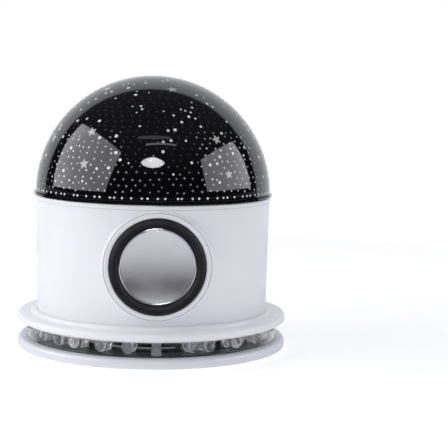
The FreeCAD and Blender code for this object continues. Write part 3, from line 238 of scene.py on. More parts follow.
def greenBoardFinish():
    # round copper tracks, broken here and there, show through dark green solder mask
    material, tree, shader = newFinish("greenBoard", (0.012, 0.06, 0.035), 0.28)
    pitch = boardPrint["trackPitch"]
    across = worked(tree, "MODULO", radiusFrom(tree), pitch)
    track = worked(tree, "LESS_THAN", across, pitch * boardPrint["trackShare"])
    unbroken = worked(tree, "GREATER_THAN", noise(tree, 55, 0), 0.5)
    shown = worked(tree, "MULTIPLY", track, unbroken)
    mask = blendColors(tree, shown, (0.007, 0.036, 0.022), (0.016, 0.08, 0.045))
    shade(tree, shader, "Base Color", mask)
    bumpFrom(tree, shader, shown, 3e-5, 0.6)
    return material


def metalFinish(name, color, roughness, streak=(1, 1, 1), scale=400, deep=4e-6):
    # metal with fine marks, drawn out along the axes where streak is small
    material, tree, shader = newFinish(name, color, roughness, Metallic=1.0)
    drawn = addNode(tree, "Mapping", {"Vector": objectPlace(tree), "Scale": streak}).outputs[0]
    marks = noise(tree, scale, 4, drawn)
    unevenGloss(tree, shader, marks, roughness * 0.8, roughness * 1.25)
    cloudyColor(tree, shader, marks, [c * 0.86 for c in color], color)
    bumpFrom(tree, shader, marks, deep, 0.5)
    return material


def turnedFinish():
    # satin aluminium, turned: fine rings about the speaker's axis
    low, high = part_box("speaker_disc")
    material, tree, shader = newFinish("turnedAluminium", (0.78, 0.78, 0.81), 0.12, Metallic=1.0)
    lines = addNode(tree, "CombineXYZ", {"X": radiusFrom(tree, "Y", (low + high) / 2)})
    rings = noise(tree, 2200, 2, lines.outputs[0])
    unevenGloss(tree, shader, noise(tree, 120, 2), 0.1, 0.13)
    shade(tree, shader, "Base Color", blendColors(tree, rings, (0.74, 0.74, 0.77), (0.82, 0.82, 0.85)))
    return material


def rubberFinish(name="blackRubber", color=(0.007, 0.007, 0.009)):
    # rubber with a paler bloom in places
    material, tree, shader = newFinish(name, color, 0.55, Specular_IOR_Level=0.3)
    cloudyColor(tree, shader, noise(tree, 130, 4), color, [c * 1.9 for c in color])
    unevenGloss(tree, shader, noise(tree, 300, 2), 0.5, 0.62)
    bumpFrom(tree, shader, noise(tree, 2600, 3), 1.2e-5, 0.5)
    return material


def wovenFinish():
    # stiffened cloth: two sets of threads that cross
    material, tree, shader = newFinish("spiderCloth", (0.62, 0.45, 0.2), 0.75)
    threads = {"Vector": objectPlace(tree), "Scale": 900.0}
    weave = [
        addNode(tree, "TexWave", threads, bands_direction=direction).outputs["Fac"] for direction in "XZ"
    ]
    over = worked(tree, "MAXIMUM", *weave)
    shade(tree, shader, "Base Color", blendColors(tree, over, (0.36, 0.24, 0.1), (0.7, 0.52, 0.25)))
    bumpFrom(tree, shader, over, 5e-5)
    return material


finishes = {
    "white_shell": mouldedFinish("whiteShell", (0.86, 0.86, 0.905), 0.33, unevenness=0.02),
    "black_dome": blackDomeFinish(),
    "black_plastic": mouldedFinish("blackPlastic", (0.018, 0.018, 0.02), 0.3, unevenness=0.2),
    "natural_plastic": mouldedFinish("naturalPlastic", (0.82, 0.8, 0.74), 0.4),
    "clear_ring": clearFinish("clearRing", (0.97, 0.98, 0.98), 0.02, 1.49),
    "clear_lamp": clearFinish("clearResin", (0.97, 0.975, 0.98), 0.03, 1.53, clearness=0.95),
    "board_green": greenBoardFinish(),
    "board_white": mouldedFinish("whiteBoard", (0.84, 0.84, 0.82), 0.35),
    "chip_black": mouldedFinish("chipBlack", (0.025, 0.025, 0.028), 0.55, grainSize=0.0002),
    "capacitor_sleeve": mouldedFinish("capacitorSleeve", (0.02, 0.02, 0.03), 0.3),
    "connector_white": mouldedFinish("connectorWhite", (0.83, 0.81, 0.75), 0.45),
    "zinc_steel": metalFinish("zincSteel", (0.6, 0.6, 0.58), 0.33),
    "tinned_wire": metalFinish("tinnedWire", (0.86, 0.86, 0.88), 0.48, scale=900),
    "shield_tin": metalFinish("shieldTin", (0.62, 0.63, 0.64), 0.3, scale=700),
    "rubber_black": rubberFinish(),
    "foam_black": rubberFinish("blackFoam", (0.02, 0.02, 0.02)),
    "disc_aluminium": turnedFinish(),
    "sink_aluminium": metalFinish("castAluminium", (0.62, 0.62, 0.64), 0.45, scale=600, deep=1.5e-5),
    "cone_paper": mouldedFinish("conePaper", (0.05, 0.05, 0.05), 0.8, grainDeep=2e-5),
    "spider_cloth": wovenFinish(),
    "magnet_ferrite": mouldedFinish("ferrite", (0.045, 0.045, 0.048), 0.5, grainDeep=1e-5),
    "coil_copper": metalFinish("copperWinding", (0.72, 0.34, 0.16), 0.3, streak=(0.1, 8, 0.1), scale=900),
    "emitter_yellow": mouldedFinish("emitterYellow", (0.9, 0.72, 0.16), 0.5),
    "wire_red": rubberFinish("redWire", (0.42, 0.03, 0.025)),
}
# painted shade: the base is the white shell's plastic, given a darker, bluer white for the shade it sits in,
# and painted near black inside the ring board's bore for the shade in there
shadedBaseLook = {
    "color": (0.77, 0.785, 0.84), "paintedBoreShade": (0.006, 0.006, 0.007),
    "boreShadeRadius": 0.0369, "boreShadeFrom": 0.0011, "boreShadeTo": 0.0056,
}


def shadedBaseFinish():
    # the base, in a white darkened as painted shade, with painted black shade on its floor inside the ring
    # board's bore
    material = mouldedFinish("shadedBase", shadedBaseLook["color"], 0.33, unevenness=0.02)
    tree = material.node_tree
    shader = tree.nodes["Principled BSDF"]
    height = placeAlong(tree, "Z")
    # where the black shade is painted: inside the bore, between two heights over the floor
    within = worked(tree, "LESS_THAN", radiusFrom(tree), shadedBaseLook["boreShadeRadius"])
    under = worked(tree, "LESS_THAN", height, shadedBaseLook["boreShadeTo"])
    over = worked(tree, "GREATER_THAN", height, shadedBaseLook["boreShadeFrom"])
    paintedShadeMask = worked(tree, "MULTIPLY", within, worked(tree, "MULTIPLY", under, over))
    white = shader.inputs["Base Color"].links[0].from_socket
    shade(tree, shader, "Base Color", blendColors(tree, paintedShadeMask, white, shadedBaseLook["paintedBoreShade"]))
    return material


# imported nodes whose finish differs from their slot's
ownFinishes = {
    "base_plate": shadedBaseFinish(),
    "turntable": mouldedFinish("glossBlack", (0.006, 0.006, 0.007), 0.07, unevenness=0.2, grainDeep=1e-6),
    "ir_receiver": mouldedFinish(
        "receiverShield", (0.6, 0.61, 0.63), 0.42, unevenness=0.35, grainSize=0.0007, grainDeep=2e-5,
        Metallic=0.6,
    ),
}
for part in frame["record"]["subparts"]:
    for slot in nodes[part["node"]].material_slots:
        slot.material = ownFinishes.get(part["node"], finishes[part["material_slot"]])
print("finishes on the packed parts:", len(finishes))


# mesh helpers: every shape is a grid of points worked out as whole arrays
def stacked(*columns):
    # arrays and numbers side by side, as the last axis
    return np.stack(np.broadcast_arrays(*columns), axis=-1)


def repeatedFaces(faces, count, copies):
    # the faces of a shape that has count points, for each copy of it
    shift = np.arange(copies)[:, None, None] * count
    return (faces[None] + shift).reshape(-1, faces.shape[1])


def gridFaces(rows, columns, rowsClose, columnsClose, copies=1):
    # quads between neighbours of a grid, wrapped where it closes, for each copy of it
    row = np.arange(rows if rowsClose else rows - 1)[:, None]
    column = np.arange(columns if columnsClose else columns - 1)[None, :]
    nextRow, nextColumn = (row + 1) % rows, (column + 1) % columns
    corners = [
        row * columns + column, nextRow * columns + column,
        nextRow * columns + nextColumn, row * columns + nextColumn,
    ]
    return repeatedFaces(stacked(*corners).reshape(-1, 4), rows * columns, copies)


def makePiece(name, points, faces, slot, body, finish=None, sharp=35.0):
    # one mesh: doubles merged at poles and seams, faces outwards, smooth but for sharp edges
    mesh = bpy.data.meshes.new(name)
    mesh.from_pydata(points.reshape(-1, 3).tolist(), [], [f.tolist() for f in faces])
    shape = bmesh.new()
    shape.from_mesh(mesh)
    bmesh.ops.remove_doubles(shape, verts=shape.verts, dist=1e-7)
    bmesh.ops.dissolve_degenerate(shape, edges=shape.edges, dist=1e-8)
    bmesh.ops.recalc_face_normals(shape, faces=shape.faces)
    shape.to_mesh(mesh)
    shape.free()
    mesh.shade_smooth()
    mesh.set_sharp_from_angle(angle=math.radians(sharp))
    mesh.materials.append(finish or finishes[slot])
    piece = newObject(name, mesh)
    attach(piece, body)
    return piece


def roundedProfile(corners, steps):
    # profile points from (radius, height, rounding): each rounding is the arc that touches both sides
    spots = np.array([corner[:2] for corner in corners], float)
    rounds = [corner[2] if len(corner) > 2 else 0 for corner in corners]
    points = []
    for index, (here, rounding) in enumerate(zip(spots, rounds)):
        if not rounding:
            points.append(here[None])
            continue
        back = spots[index - 1] - here
        ahead = spots[(index + 1) % len(spots)] - here
        back, ahead = back / np.linalg.norm(back), ahead / np.linalg.norm(ahead)
        half = math.acos(np.clip(back @ ahead, -1, 1)) / 2
        middle = (back + ahead) / np.linalg.norm(back + ahead)
        centre = here + middle * rounding / math.sin(half)
        first, last = (here + way * rounding / math.tan(half) - centre for way in (back, ahead))
        share = np.linspace(0, 1, steps + 1)[:, None]
        sweep = math.pi - 2 * half
        arc = (np.sin((1 - share) * sweep) * first + np.sin(share * sweep) * last) / math.sin(sweep)
        points.append(centre + arc)
    return np.concatenate(points)


def turnedGrid(profile, segments):
    # a profile of (radius, height) turned about Z: (radius cos angle, radius sin angle, height)
    angle = np.linspace(0, 2 * math.pi, segments, endpoint=False)[:, None]
    radius, height = profile[:, 0], profile[:, 1]
    return stacked(radius * np.cos(angle), radius * np.sin(angle), height)


def facingFront(points, centre):
    # lays local +Z along -Y, about a centre on the speaker's axis
    x, y, z = points[..., 0], points[..., 1], points[..., 2]
    return stacked(x, -z, y) + np.array(centre)


def pointsOf(mesh):
    flat = np.empty(len(mesh.vertices) * 3, np.float32)
    mesh.vertices.foreach_get("co", flat)
    return flat.reshape(-1, 3)


def letLightThrough(piece):
    piece.visible_shadow = False


def turnedPiece(name, profile, slot, body, closed=True, segments=192, centre=None, **more):
    points = turnedGrid(profile, segments)
    if centre is not None:
        points = facingFront(points, centre)
    return makePiece(name, points, gridFaces(segments, len(profile), True, closed), slot, body, **more)


# star dome: a clear-skinned black shell, with windows left in its print
starDome = {
    "wall": 0.0018, "skin": 0.00002,  # how far the windows stand over the shell
    "lip": 0.0004, "segments": 240, "rows": 72,
}


def addDome():
    # shell between two spheres: (R cos a, R sin a), a from the rim to the pole, with a rounded rim
    low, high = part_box("star_dome")
    wall, skin, lip, segments, rows = starDome.values()
    radius = high.x - skin
    centre = high.z - high.x
    rimAngle = math.asin((low.z - centre) / radius)
    out = np.linspace(rimAngle + lip / radius, math.pi / 2, rows)
    way = stacked(np.cos(out), np.sin(out))
    outer, inner = way * radius + (0, centre), way * (radius - wall) + (0, centre)
    turn = np.linspace(0, math.pi / 2, 5)[1:-1]
    rim = stacked(outer[0, 0] - lip + lip * np.cos(turn), low.z + lip - lip * np.sin(turn))
    foot = np.array([[outer[0, 0] - lip, low.z], [inner[0, 0], low.z]])
    profile = np.concatenate([inner[::-1], foot[::-1], rim[::-1], outer])
    piece = turnedPiece("starDomeShell", profile, "black_dome", "dome", closed=False, segments=segments)
    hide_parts("star_dome")
    return radius, Vector((0, 0, centre))


starWindows = {
    # small dull dots in staggered rows from the rim to the pole
    "rowGap": 0.0026, "dotGap": 0.0037, "lowest": 0.0048, "smallRadius": (0.00038, 0.0005),
    "openPole": 0.12, "rowsTogether": 6, "rowTurn": 37,  # every few rows, the dots start at another angle
    # painted light: how bright the dull dots are painted, and the heights over which that fades to dullHigh;
    # dullJitter wobbles their places
    "dull": (0.12, 0.34), "dullJitter": 0.0006, "dullFadeFrom": 13, "dullFadeTo": 19, "dullHigh": 0.07,
    # brighter patches of them, where more light is painted: degrees round from the front to each one's
    # middle, half width, top and blur
    "patchAt": 40, "patchHalf": 22, "patchTop": 35, "patchBlur": 5, "patchGlow": (0.3, 0.75),
    # bright dots scattered over them, between two heights given by their sines
    "brightCount": 300, "brightRadius": (0.0004, 0.0008), "brightGlow": (0.7, 1), "brightUp": (0.12, 0.995),
    # least distances between middles, bright dots first
    "brightToStar": 0.0034, "brightToBright": 0.0019, "dullToStar": 0.003, "dullToBright": 0.0017,
    # a row of bright dots over the rim
    "rimCount": 92, "rimRadius": 0.0005, "rimLift": 0.0021, "rimJitter": 0.3,
    "starRadius": (0.0021, 0.0025), "starDent": 0.46,  # inner radius as a share
    "starGlow": (0.42, 0.6), "dotSides": 8, "depth": 0.0003, "seed": 41,
    # five-pointed stars by (degrees round from the front, degrees up, degrees of turn)
    "stars": [
        (-38, 17, 8), (-39, 33, 20), (36, 13, 4), (33, 30, 15), (16, 63, 0), (80, 16, 6),
        (-72, 28, 5), (-98, 14, 9), (-125, 40, 0), (-150, 18, 17), (178, 34, 6), (150, 15, 11),
        (118, 44, 3), (96, 24, 14), (-60, 62, 9),
    ],
}


def onSphere(degreesRound, degreesUp):
    # unit vectors: 0 degrees round is the front, -Y
    a, e = np.radians(degreesRound), np.radians(degreesUp)
    return stacked(np.sin(a) * np.cos(e), -np.cos(a) * np.cos(e), np.sin(e))


def plugs(directions, reaches, turns, radius, centre, skin, depth):
    # little prisms set in a sphere: a rim of reaches round each direction, on the skin and sunk
    count, sides = reaches.shape
    side = np.cross(np.array([0, 0, 1.0]), directions)
    side /= np.linalg.norm(side, axis=1, keepdims=True)
    over = np.cross(directions, side)
    angle = np.linspace(0, 2 * math.pi, sides, endpoint=False) + turns[:, None] + math.pi / 2
    flat = (
        side[:, None] * (reaches * np.cos(angle))[..., None]
        + over[:, None] * (reaches * np.sin(angle))[..., None]
    )
    ways = directions[:, None] * radius + flat
    ways /= np.linalg.norm(ways, axis=2, keepdims=True)
    hub = directions[:, None]
    top, low = radius + skin, radius - depth
    points = np.concatenate([ways * top, ways * low, hub * top, hub * low], axis=1) + np.array(centre)
    i = np.arange(sides)
    j = (i + 1) % sides
    fans = np.concatenate([stacked(2 * sides, i, j), stacked(2 * sides + 1, j + sides, i + sides)])
    walls = stacked(i, i + sides, j + sides, j)
    faces = [face for shape in (fans, walls) for face in repeatedFaces(shape, 2 * sides + 2, count)]
    return points, faces


def staggeredRows(radius, random):
    # rows at equal steps up the dome, of dots dotGap apart: every second row starts half a gap on
    make = starWindows
    step = make["rowGap"] / radius
    around, up = [], []
    for index in range(int((math.pi / 2 - make["openPole"]) / step)):
        height = make["lowest"] / radius + step * index
        count = max(3, round(2 * math.pi * math.cos(height) * radius / make["dotGap"]))
        turn = make["rowTurn"] * (index // make["rowsTogether"])
        around.append((np.arange(count) + 0.5 * (index % 2)) * 360 / count + turn)
        up.append(np.full(count, math.degrees(height)))
    around, up = np.concatenate(around), np.concatenate(up)
    wobble = math.degrees(make["dullJitter"] / radius)
    around = around + random.uniform(-1, 1, len(up)) * wobble / np.cos(np.radians(up))
    return onSphere(around, up + random.uniform(-1, 1, len(up)) * wobble)


def scattered(random):
    # directions spread evenly by area, at random
    count = starWindows["brightCount"]
    up = np.degrees(np.arcsin(random.uniform(*starWindows["brightUp"], count)))
    return onSphere(random.uniform(-180, 180, count), up)


def farFrom(ways, others, reach):
    return np.max(ways @ others.T, axis=1) < math.cos(reach)


def paintedDullLight(dull, random):
    # painted light of the dull dots: it fades with height but for the patches, where each dot takes its own
    # brightness
    make = starWindows
    heights = np.degrees(np.arcsin(dull[:, 2]))
    fade = np.interp(heights, [make["dullFadeFrom"], make["dullFadeTo"]], [1, make["dullHigh"]])
    around = np.degrees(np.arctan2(dull[:, 0], -dull[:, 1]))
    inside = make["patchHalf"] - np.abs(np.abs(around) - make["patchAt"])
    patch = np.clip(np.minimum(inside, make["patchTop"] - heights) / make["patchBlur"], 0, 1)
    plain = random.uniform(*make["dull"], len(dull)) * fade
    return plain + patch * (random.uniform(*make["patchGlow"], len(dull)) - plain)


def addStarWindows(radius, centre):
    make = starWindows
    random = np.random.default_rng(make["seed"])
    solid = (radius, centre, starDome["skin"], make["depth"])
    stars = np.array(make["stars"], float)
    starWays = onSphere(stars[:, 0], stars[:, 1])
    starSize = random.uniform(*make["starRadius"], len(stars))
    bright = scattered(random)
    bright = bright[farFrom(bright, starWays, make["brightToStar"] / radius)]
    near = np.tril(bright @ bright.T, -1) > math.cos(make["brightToBright"] / radius)
    bright = bright[~near.any(axis=1)]
    dull = staggeredRows(radius, random)
    clear = farFrom(dull, starWays, make["dullToStar"] / radius)
    dull = dull[clear & farFrom(dull, bright, make["dullToBright"] / radius)]
    count = make["rimCount"]
    around = np.arange(count) + random.uniform(-1, 1, count) * make["rimJitter"]
    rim = onSphere(around * 360 / count, np.full(count, math.degrees(make["rimLift"] / radius)))
    ways = np.concatenate([dull, bright, rim])
    size = np.concatenate([
        random.uniform(*make["smallRadius"], len(dull)), random.uniform(*make["brightRadius"], len(bright)),
        np.full(count, make["rimRadius"]),
    ])
    # how bright each window is painted, standing in for the light that shows through it
    brightGlow = make["brightGlow"]
    glow = np.concatenate([
        paintedDullLight(dull, random), random.uniform(*brightGlow, len(bright)), random.uniform(*brightGlow, count),
    ])
    reaches = np.repeat(size[:, None], make["dotSides"], axis=1)
    dots, dotFaces = plugs(ways, reaches, np.zeros(len(ways)), *solid)
    dent = np.where(np.arange(10) % 2 == 0, 1.0, make["starDent"])
    points, faces = plugs(starWays, starSize[:, None] * dent, np.radians(stars[:, 2]), *solid)
    shift = dots.shape[0] * dots.shape[1]
    allPoints = np.concatenate([dots.reshape(-1, 3), points.reshape(-1, 3)])
    piece = makePiece("starWindows", allPoints, dotFaces + [f + shift for f in faces],
                      "clear_ring", "dome", finish=starWindowFinish())
    starGlow = random.uniform(*make["starGlow"], len(stars))
    glows = np.concatenate([np.repeat(glow, dots.shape[1]), np.repeat(starGlow, points.shape[1])])
    attribute = piece.data.attributes.new("bright", "FLOAT", "POINT")
    attribute.data.foreach_set("value", glows.astype(np.float32))
    print("star windows:", len(ways) + len(stars))


domeRadius, domeCentre = addDome()
addStarWindows(domeRadius, domeCentre)


# clear ring in the base
clearRing = {"wall": 0.0017, "edge": 0.0003}


def addClearRing():
    low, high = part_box("light_ring")
    outer, inner, edge = high.x, high.x - clearRing["wall"], clearRing["edge"]
    corners = [
        (inner, low.z, edge), (outer, low.z, edge), (outer, high.z, edge), (inner, high.z, edge),
    ]
    piece = turnedPiece("clearRing", roundedProfile(corners, 4), "clear_ring", "root", segments=256)
    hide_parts("light_ring")
    letLightThrough(piece)


addClearRing()


# clear round lamps behind the ring
roundLamp = {
    "long": 0.0086, "radius": 0.0025, "flangeRadius": 0.0029, "flange": 0.001, "sides": 28,
    "edges": (0.0002, 0.0003, 0.0001),  # rounding at the foot, at the flange and under the body
    "legPitch": 0.00254, "leastGap": 1.5,  # degrees between one lamp's points and the next one's
}
# the metal that shows inside each: boxes by middle (outwards from the lamp's foot, sideways) and size, and
# a cup, by its middle and its profile (radius, outwards)
lampInsides = {
    "frame": [
        ((0.0021, -0.00127), (0.0042, 0.0005, 0.0005)), ((0.0021, 0.00127), (0.0042, 0.0005, 0.0005)),
        ((0.0036, -0.00072), (0.0012, 0.0016, 0.0006)), ((0.0039, 0.00110333), (0.0006, 0.0008, 0.0006)),
    ],
    "die": [((0.0043, -0.00047), (0.0002, 0.0004, 0.0004))], "cupAt": (0.0042, -0.00047), "cupSides": 16,
    "cup": [(0.0004275, 0), (0.00095, 0.0005), (0.00105, 0.0005), (0.00076, -0.0001), (0, -0.0001), (0, 0)],
}
# whitish bands round each, painted highlights for the bright rims that refraction gives the lamps: (radius,
# distance from the foot) at the outside's two edges, and thickness
highlightBands = {
    "flange": ((0.00292, 0.00005), (0.00292, 0.00095), 0.0004),
    "waist": ((0.00251, 0.0035), (0.00251, 0.00365), 0.0004),
    "shoulder": ((0.00252, 0.0059), (0.00252, 0.0061), 0.0004),
    "brow": ((0.00246, 0.00658), (0.0023, 0.00712), 0.0001),
}


def lampTurnsAndTips():
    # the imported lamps' directions and how far out they reach: round the ring from the receiver, which
    # has no lamp, the angles of the points near the tips fall in one group for each lamp
    points = pointsOf(nodes["ring_leds"].data)
    reach = np.hypot(points[:, 0], points[:, 1])
    near = points[reach > reach.max() - roundLamp["radius"]]
    angle = np.sort(np.arctan2(near[:, 0], near[:, 1]))
    breaks = np.flatnonzero(np.diff(angle) > math.radians(roundLamp["leastGap"])) + 1
    middles = [(group[0] + group[-1]) / 2 for group in np.split(angle, breaks)]
    return math.pi / 2 - np.array(middles), float(reach.max())


def aroundRing(points, angles):
    # copies of points given as (outwards, sideways, up), one turned to each angle
    out, side, up = points[..., 0], points[..., 1], points[..., 2]
    shape = (-1,) + (1,) * out.ndim
    angles = angles.reshape(shape)
    c, s = np.cos(angles), np.sin(angles)
    return stacked(out * c - side * s, out * s + side * c, up)


def alongOut(points, start, height, aside=0.0):
    # lays local +Z outwards from the drum's axis: (height, x, y)
    return stacked(points[..., 2] + start, points[..., 0] + aside, points[..., 1] + height)


def addLampBodies(angles, start, height):
    # each lamp is a turned bullet of resin: flange, straight body and round end
    long, radius, wide, flange, sides, edges, *_ = roundLamp.values()
    bend = np.linspace(0, math.pi / 2, 10)
    tip = stacked(radius * np.cos(bend), long - radius + radius * np.sin(bend))
    foot = roundedProfile([
        (0, 0), (wide, 0, edges[0]), (wide, flange, edges[1]), (radius, flange, edges[2]),
        (radius, long - radius),
    ], 3)
    profile = np.concatenate([foot[:-1], tip])
    local = alongOut(turnedGrid(profile, sides), start, height)
    faces = gridFaces(sides, len(profile), True, False, len(angles))
    bodies = makePiece("ringLamps", aroundRing(local, angles), faces, "clear_lamp", "root")
    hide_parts("ring_leds")
    letLightThrough(bodies)


def addBoxes(name, boxes, angles, start, height):
    # each box is its middle plus or minus half its size, copied round the ring
    corner = np.array([[x, y, z] for x in (-1, 1) for y in (-1, 1) for z in (-1, 1)]) / 2
    faces = np.array([[0, 1, 3, 2], [4, 6, 7, 5], [0, 4, 5, 1], [2, 3, 7, 6], [0, 2, 6, 4], [1, 5, 7, 3]])
    points = np.stack([np.array([start + out, side, height]) + corner * size for (out, side), size in boxes])
    faces = repeatedFaces(faces, len(corner), len(boxes) * len(angles))
    makePiece(name, aroundRing(points, angles), faces, "tinned_wire", "root")


def addLampInsides(angles, start, height):
    inside = lampInsides
    addBoxes("lampFrames", inside["frame"], angles, start, height)
    cup, sides, (out, aside) = np.array(inside["cup"]), inside["cupSides"], inside["cupAt"]
    cups = alongOut(turnedGrid(cup, sides), start + out, height, aside)
    faces = gridFaces(sides, len(cup), True, True, len(angles))
    makePiece("lampCups", aroundRing(cups, angles), faces, "tinned_wire", "root")
    addBoxes("lampDies", inside["die"], angles, start, height)


def addHighlightBands(angles, start, height):
    # painted highlights: bands of whitish, partly clear resin round the clear lamps stand in for the bright
    # rims that refraction gives them
    loops = []
    for first, last, thick in highlightBands.values():
        outside = np.array([first, last])
        loops.append(np.concatenate([outside, outside[::-1] - (thick, 0)]))
    sides = roundLamp["sides"]
    grids = np.stack([alongOut(turnedGrid(loop, sides), start, height) for loop in loops])
    material, tree, shader = newFinish(
        "highlightResin", (0.93, 0.94, 0.97), 0.5, Transmission_Weight=0.2, IOR=1.53
    )
    unevenGloss(tree, shader, noise(tree, 1500, 2), 0.4, 0.6)
    faces = gridFaces(sides, 4, True, True, len(loops) * len(angles))
    piece = makePiece("lampBands", aroundRing(grids, angles), faces, "clear_lamp", "root", finish=material)
    letLightThrough(piece)


solderJoint = {
    "radius": 0.0009, "topRadius": 0.00025, "tall": 0.0007, "legBack": 0.0012, "hollow": 2.2, "sides": 14,
}


def addSolder(angles, start):
    # solder on each leg: radius falls with height as a power, which gives a hollow cone
    widest, narrow, tall, legBack, hollow, sides = solderJoint.values()
    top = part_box("led_board")[1].z
    share = np.linspace(0, 1, 7)
    cone = stacked(narrow + (widest - narrow) * (1 - share) ** hollow, top + share * tall)
    profile = np.concatenate([[(0, top)], cone, [(0, top + tall)]])
    half = roundLamp["legPitch"] / 2
    joint = turnedGrid(profile, sides)
    pair = np.stack([joint + np.array([start - legBack, way * half, 0]) for way in (-1, 1)])
    faces = gridFaces(sides, len(profile), True, False, 2 * len(angles))
    makePiece("solderJoints", aroundRing(pair, angles), faces, "tinned_wire", "root", sharp=60.0)


ringLow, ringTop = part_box("ring_leds")
ringCentre = Vector((0, 0, ringTop.z))
lampTurns, lampTips = lampTurnsAndTips()
lampPlace = (lampTurns, lampTips - roundLamp["long"], (ringLow.z + ringTop.z) / 2)
addLampBodies(*lampPlace)
addLampInsides(*lampPlace)
addHighlightBands(*lampPlace)
addSolder(*lampPlace[:2])
print("ring lamps:", len(lampTurns))


boardEdge = {"outside": 0.0012, "wide": 0.001, "tall": 0.0004, "sunk": 0.0002}


def addBoardEdge():
    # pale bead round the board near its bore: half an ellipse, (wide cos a, tall sin a)
    edge = boardEdge
    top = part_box("led_board")[1].z
    points = pointsOf(nodes["led_board"].data)
    bore = float(np.hypot(points[:, 0], points[:, 1]).min())
    middle = bore + edge["outside"] + edge["wide"] / 2
    a = np.linspace(0, math.pi, 9)
    dome = stacked(middle + edge["wide"] / 2 * np.cos(a), top + edge["tall"] * np.sin(a))
    foot = dome[[-1, 0]] - np.array([0, edge["sunk"]])
    material, tree, shader = newFinish("paleBead", (0.72, 0.74, 0.7), 0.35)
    tone = blendColors(tree, noise(tree, 700, 2), (0.6, 0.63, 0.58), (0.82, 0.84, 0.8))
    shade(tree, shader, "Base Color", tone)
    turnedPiece("boardEdge", np.concatenate([dome, foot]), "board_white", "root", finish=material)


addBoardEdge()


# speaker face
speakerFace = {
    "dish": 0.0005, "rimWide": 0.0008, "rimProud": 0.00012,
    "rollRadius": 0.002, "rollSheet": 0.0006,
    "hubRadius": 0.004, "hubThick": 0.00036,  # flat middle of the disc's back
}


def speakerCentre(y):
    low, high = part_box("speaker_disc")
    return Vector(((low.x + high.x) / 2, y, (low.z + high.z) / 2))


def addSpeakerDisc():
    # shallow dish: height = -dish (1 - (r/R)^2), with a rolled bead at its rim
    low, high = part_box("speaker_disc")
    face = speakerFace
    radius = (high.x - low.x) / 2
    front = high.y - low.y  # local height of the rim's face over its back
    flat = radius - face["rimWide"]
    r = np.linspace(0, flat, 22)
    dish, proud = face["dish"], face["rimProud"]
    back = dish  # the foot of the rim, over the lowest point
    dished = stacked(r, front - dish * (1 - (r / flat) ** 2) - proud * 0.5)
    t = np.linspace(0, math.pi, 11)[1:-1]
    middle, half = radius - face["rimWide"] / 2, face["rimWide"] / 2
    bead = stacked(middle - half * np.cos(t), front - proud + proud * np.sin(t))
    hubBack = front - dish - face["hubThick"]
    under = np.array([
        (radius, front - proud * 1.2), (radius, back), (flat * 0.9, back),
        (face["hubRadius"], hubBack), (0, hubBack),
    ])
    profile = np.concatenate([dished, bead, under])
    piece = turnedPiece("speakerDiscFace", profile, "disc_aluminium", "diaphragm", closed=False,
                        centre=speakerCentre(high.y))
    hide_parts("speaker_disc")


def addSurround():
    # half roll of rubber: heights are R sin a over the foot, with a step at its inner edge
    low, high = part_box("speaker_surround")
    face = speakerFace
    outerRadius = (high.x - low.x) / 2
    roll, sheet = face["rollRadius"], face["rollSheet"]
    foot = low.y + roll  # y of the roll's foot
    middle = outerRadius - roll
    skirt = high.y - foot
    a = np.linspace(math.pi, 0, 25)
    outer = stacked(middle + roll * np.cos(a), roll * np.sin(a))
    inside = roll - sheet
    inner = stacked(middle + inside * np.cos(a[::-1]), inside * np.sin(a[::-1]))
    legs = np.array([(outerRadius, -skirt), (middle + inside, -skirt)])
    profile = np.concatenate([outer, legs, inner])
    piece = turnedPiece("speakerSurroundRoll", profile, "rubber_black", "root",
                        centre=speakerCentre(foot), sharp=40.0)
    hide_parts("speaker_surround")
    followDiaphragm(piece, middle - roll, middle + roll)


def followDiaphragm(piece, innerRadius, outerRadius):
    # takes the piece off its body into world place, and works out for each point a share from the inner edge
    # to the outer, eased by distance from the axis, which nothing uses
    bpy.context.view_layer.update()
    piece.parent = None
    points = pointsOf(piece.data)
    centre = speakerCentre(float(points[:, 1].min()))
    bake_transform(piece)
    reach = np.hypot(points[:, 0] - centre.x, points[:, 2] - centre.z)
    share = np.clip((reach - innerRadius) / (outerRadius - innerRadius), 0, 1)
    share = share * share * (3 - 2 * share)


spiderFolds = {"folds": 5, "deep": 0.0007, "sheet": 0.0004, "bore": 0.00595}


def addSpider():
    # corrugated cloth disc: height = deep sin(folds 2 pi share)
    low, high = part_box("speaker_spider")
    sheet = spiderFolds["sheet"]
    inner, outer = spiderFolds["bore"], (high.x - low.x) / 2
    share = np.linspace(0, 1, 61)
    radius = inner + (outer - inner) * share
    wave = spiderFolds["deep"] * np.sin(2 * math.pi * spiderFolds["folds"] * share)
    top = stacked(radius, wave + sheet / 2)
    under = stacked(radius, wave - sheet / 2)[::-1]
    centre = speakerCentre((low.y + high.y) / 2)
    piece = turnedPiece("spiderFolds", np.concatenate([top, under]), "spider_cloth", "root",
                        centre=centre, segments=96)
    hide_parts("speaker_spider")
    followDiaphragm(piece, inner, outer)


addSpeakerDisc()
addSurround()
addSpider()
print("speaker face made")


# printed marks over the rear buttons, as strokes in units of the mark's radius: arcs by (first, last)
# degrees round it, and straight strokes by their ends
rearMarks = {
    "radius": 0.0009, "line": 0.00022, "above": 0.0043, "proud": 0.00003, "steps": 25,
    "arcs": {"power_button": (125, 415), "light_button": (0, 360), "turn_button": (60, 345)},
    "strokes": [
        ("power_button", (0, 0.3), (0, 1.25)), ("light_button", (-0.4, 0), (0.4, 0)),
        ("turn_button", (0.45, 0.9), (0.4, 1.3)), ("turn_button", (0.5, 0.86), (0.95, 0.95)),
    ],
}


def markMiddle(button):
    low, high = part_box(button)
    return np.array([(low.x + high.x) / 2, (low.z + high.z) / 2 + rearMarks["above"]])


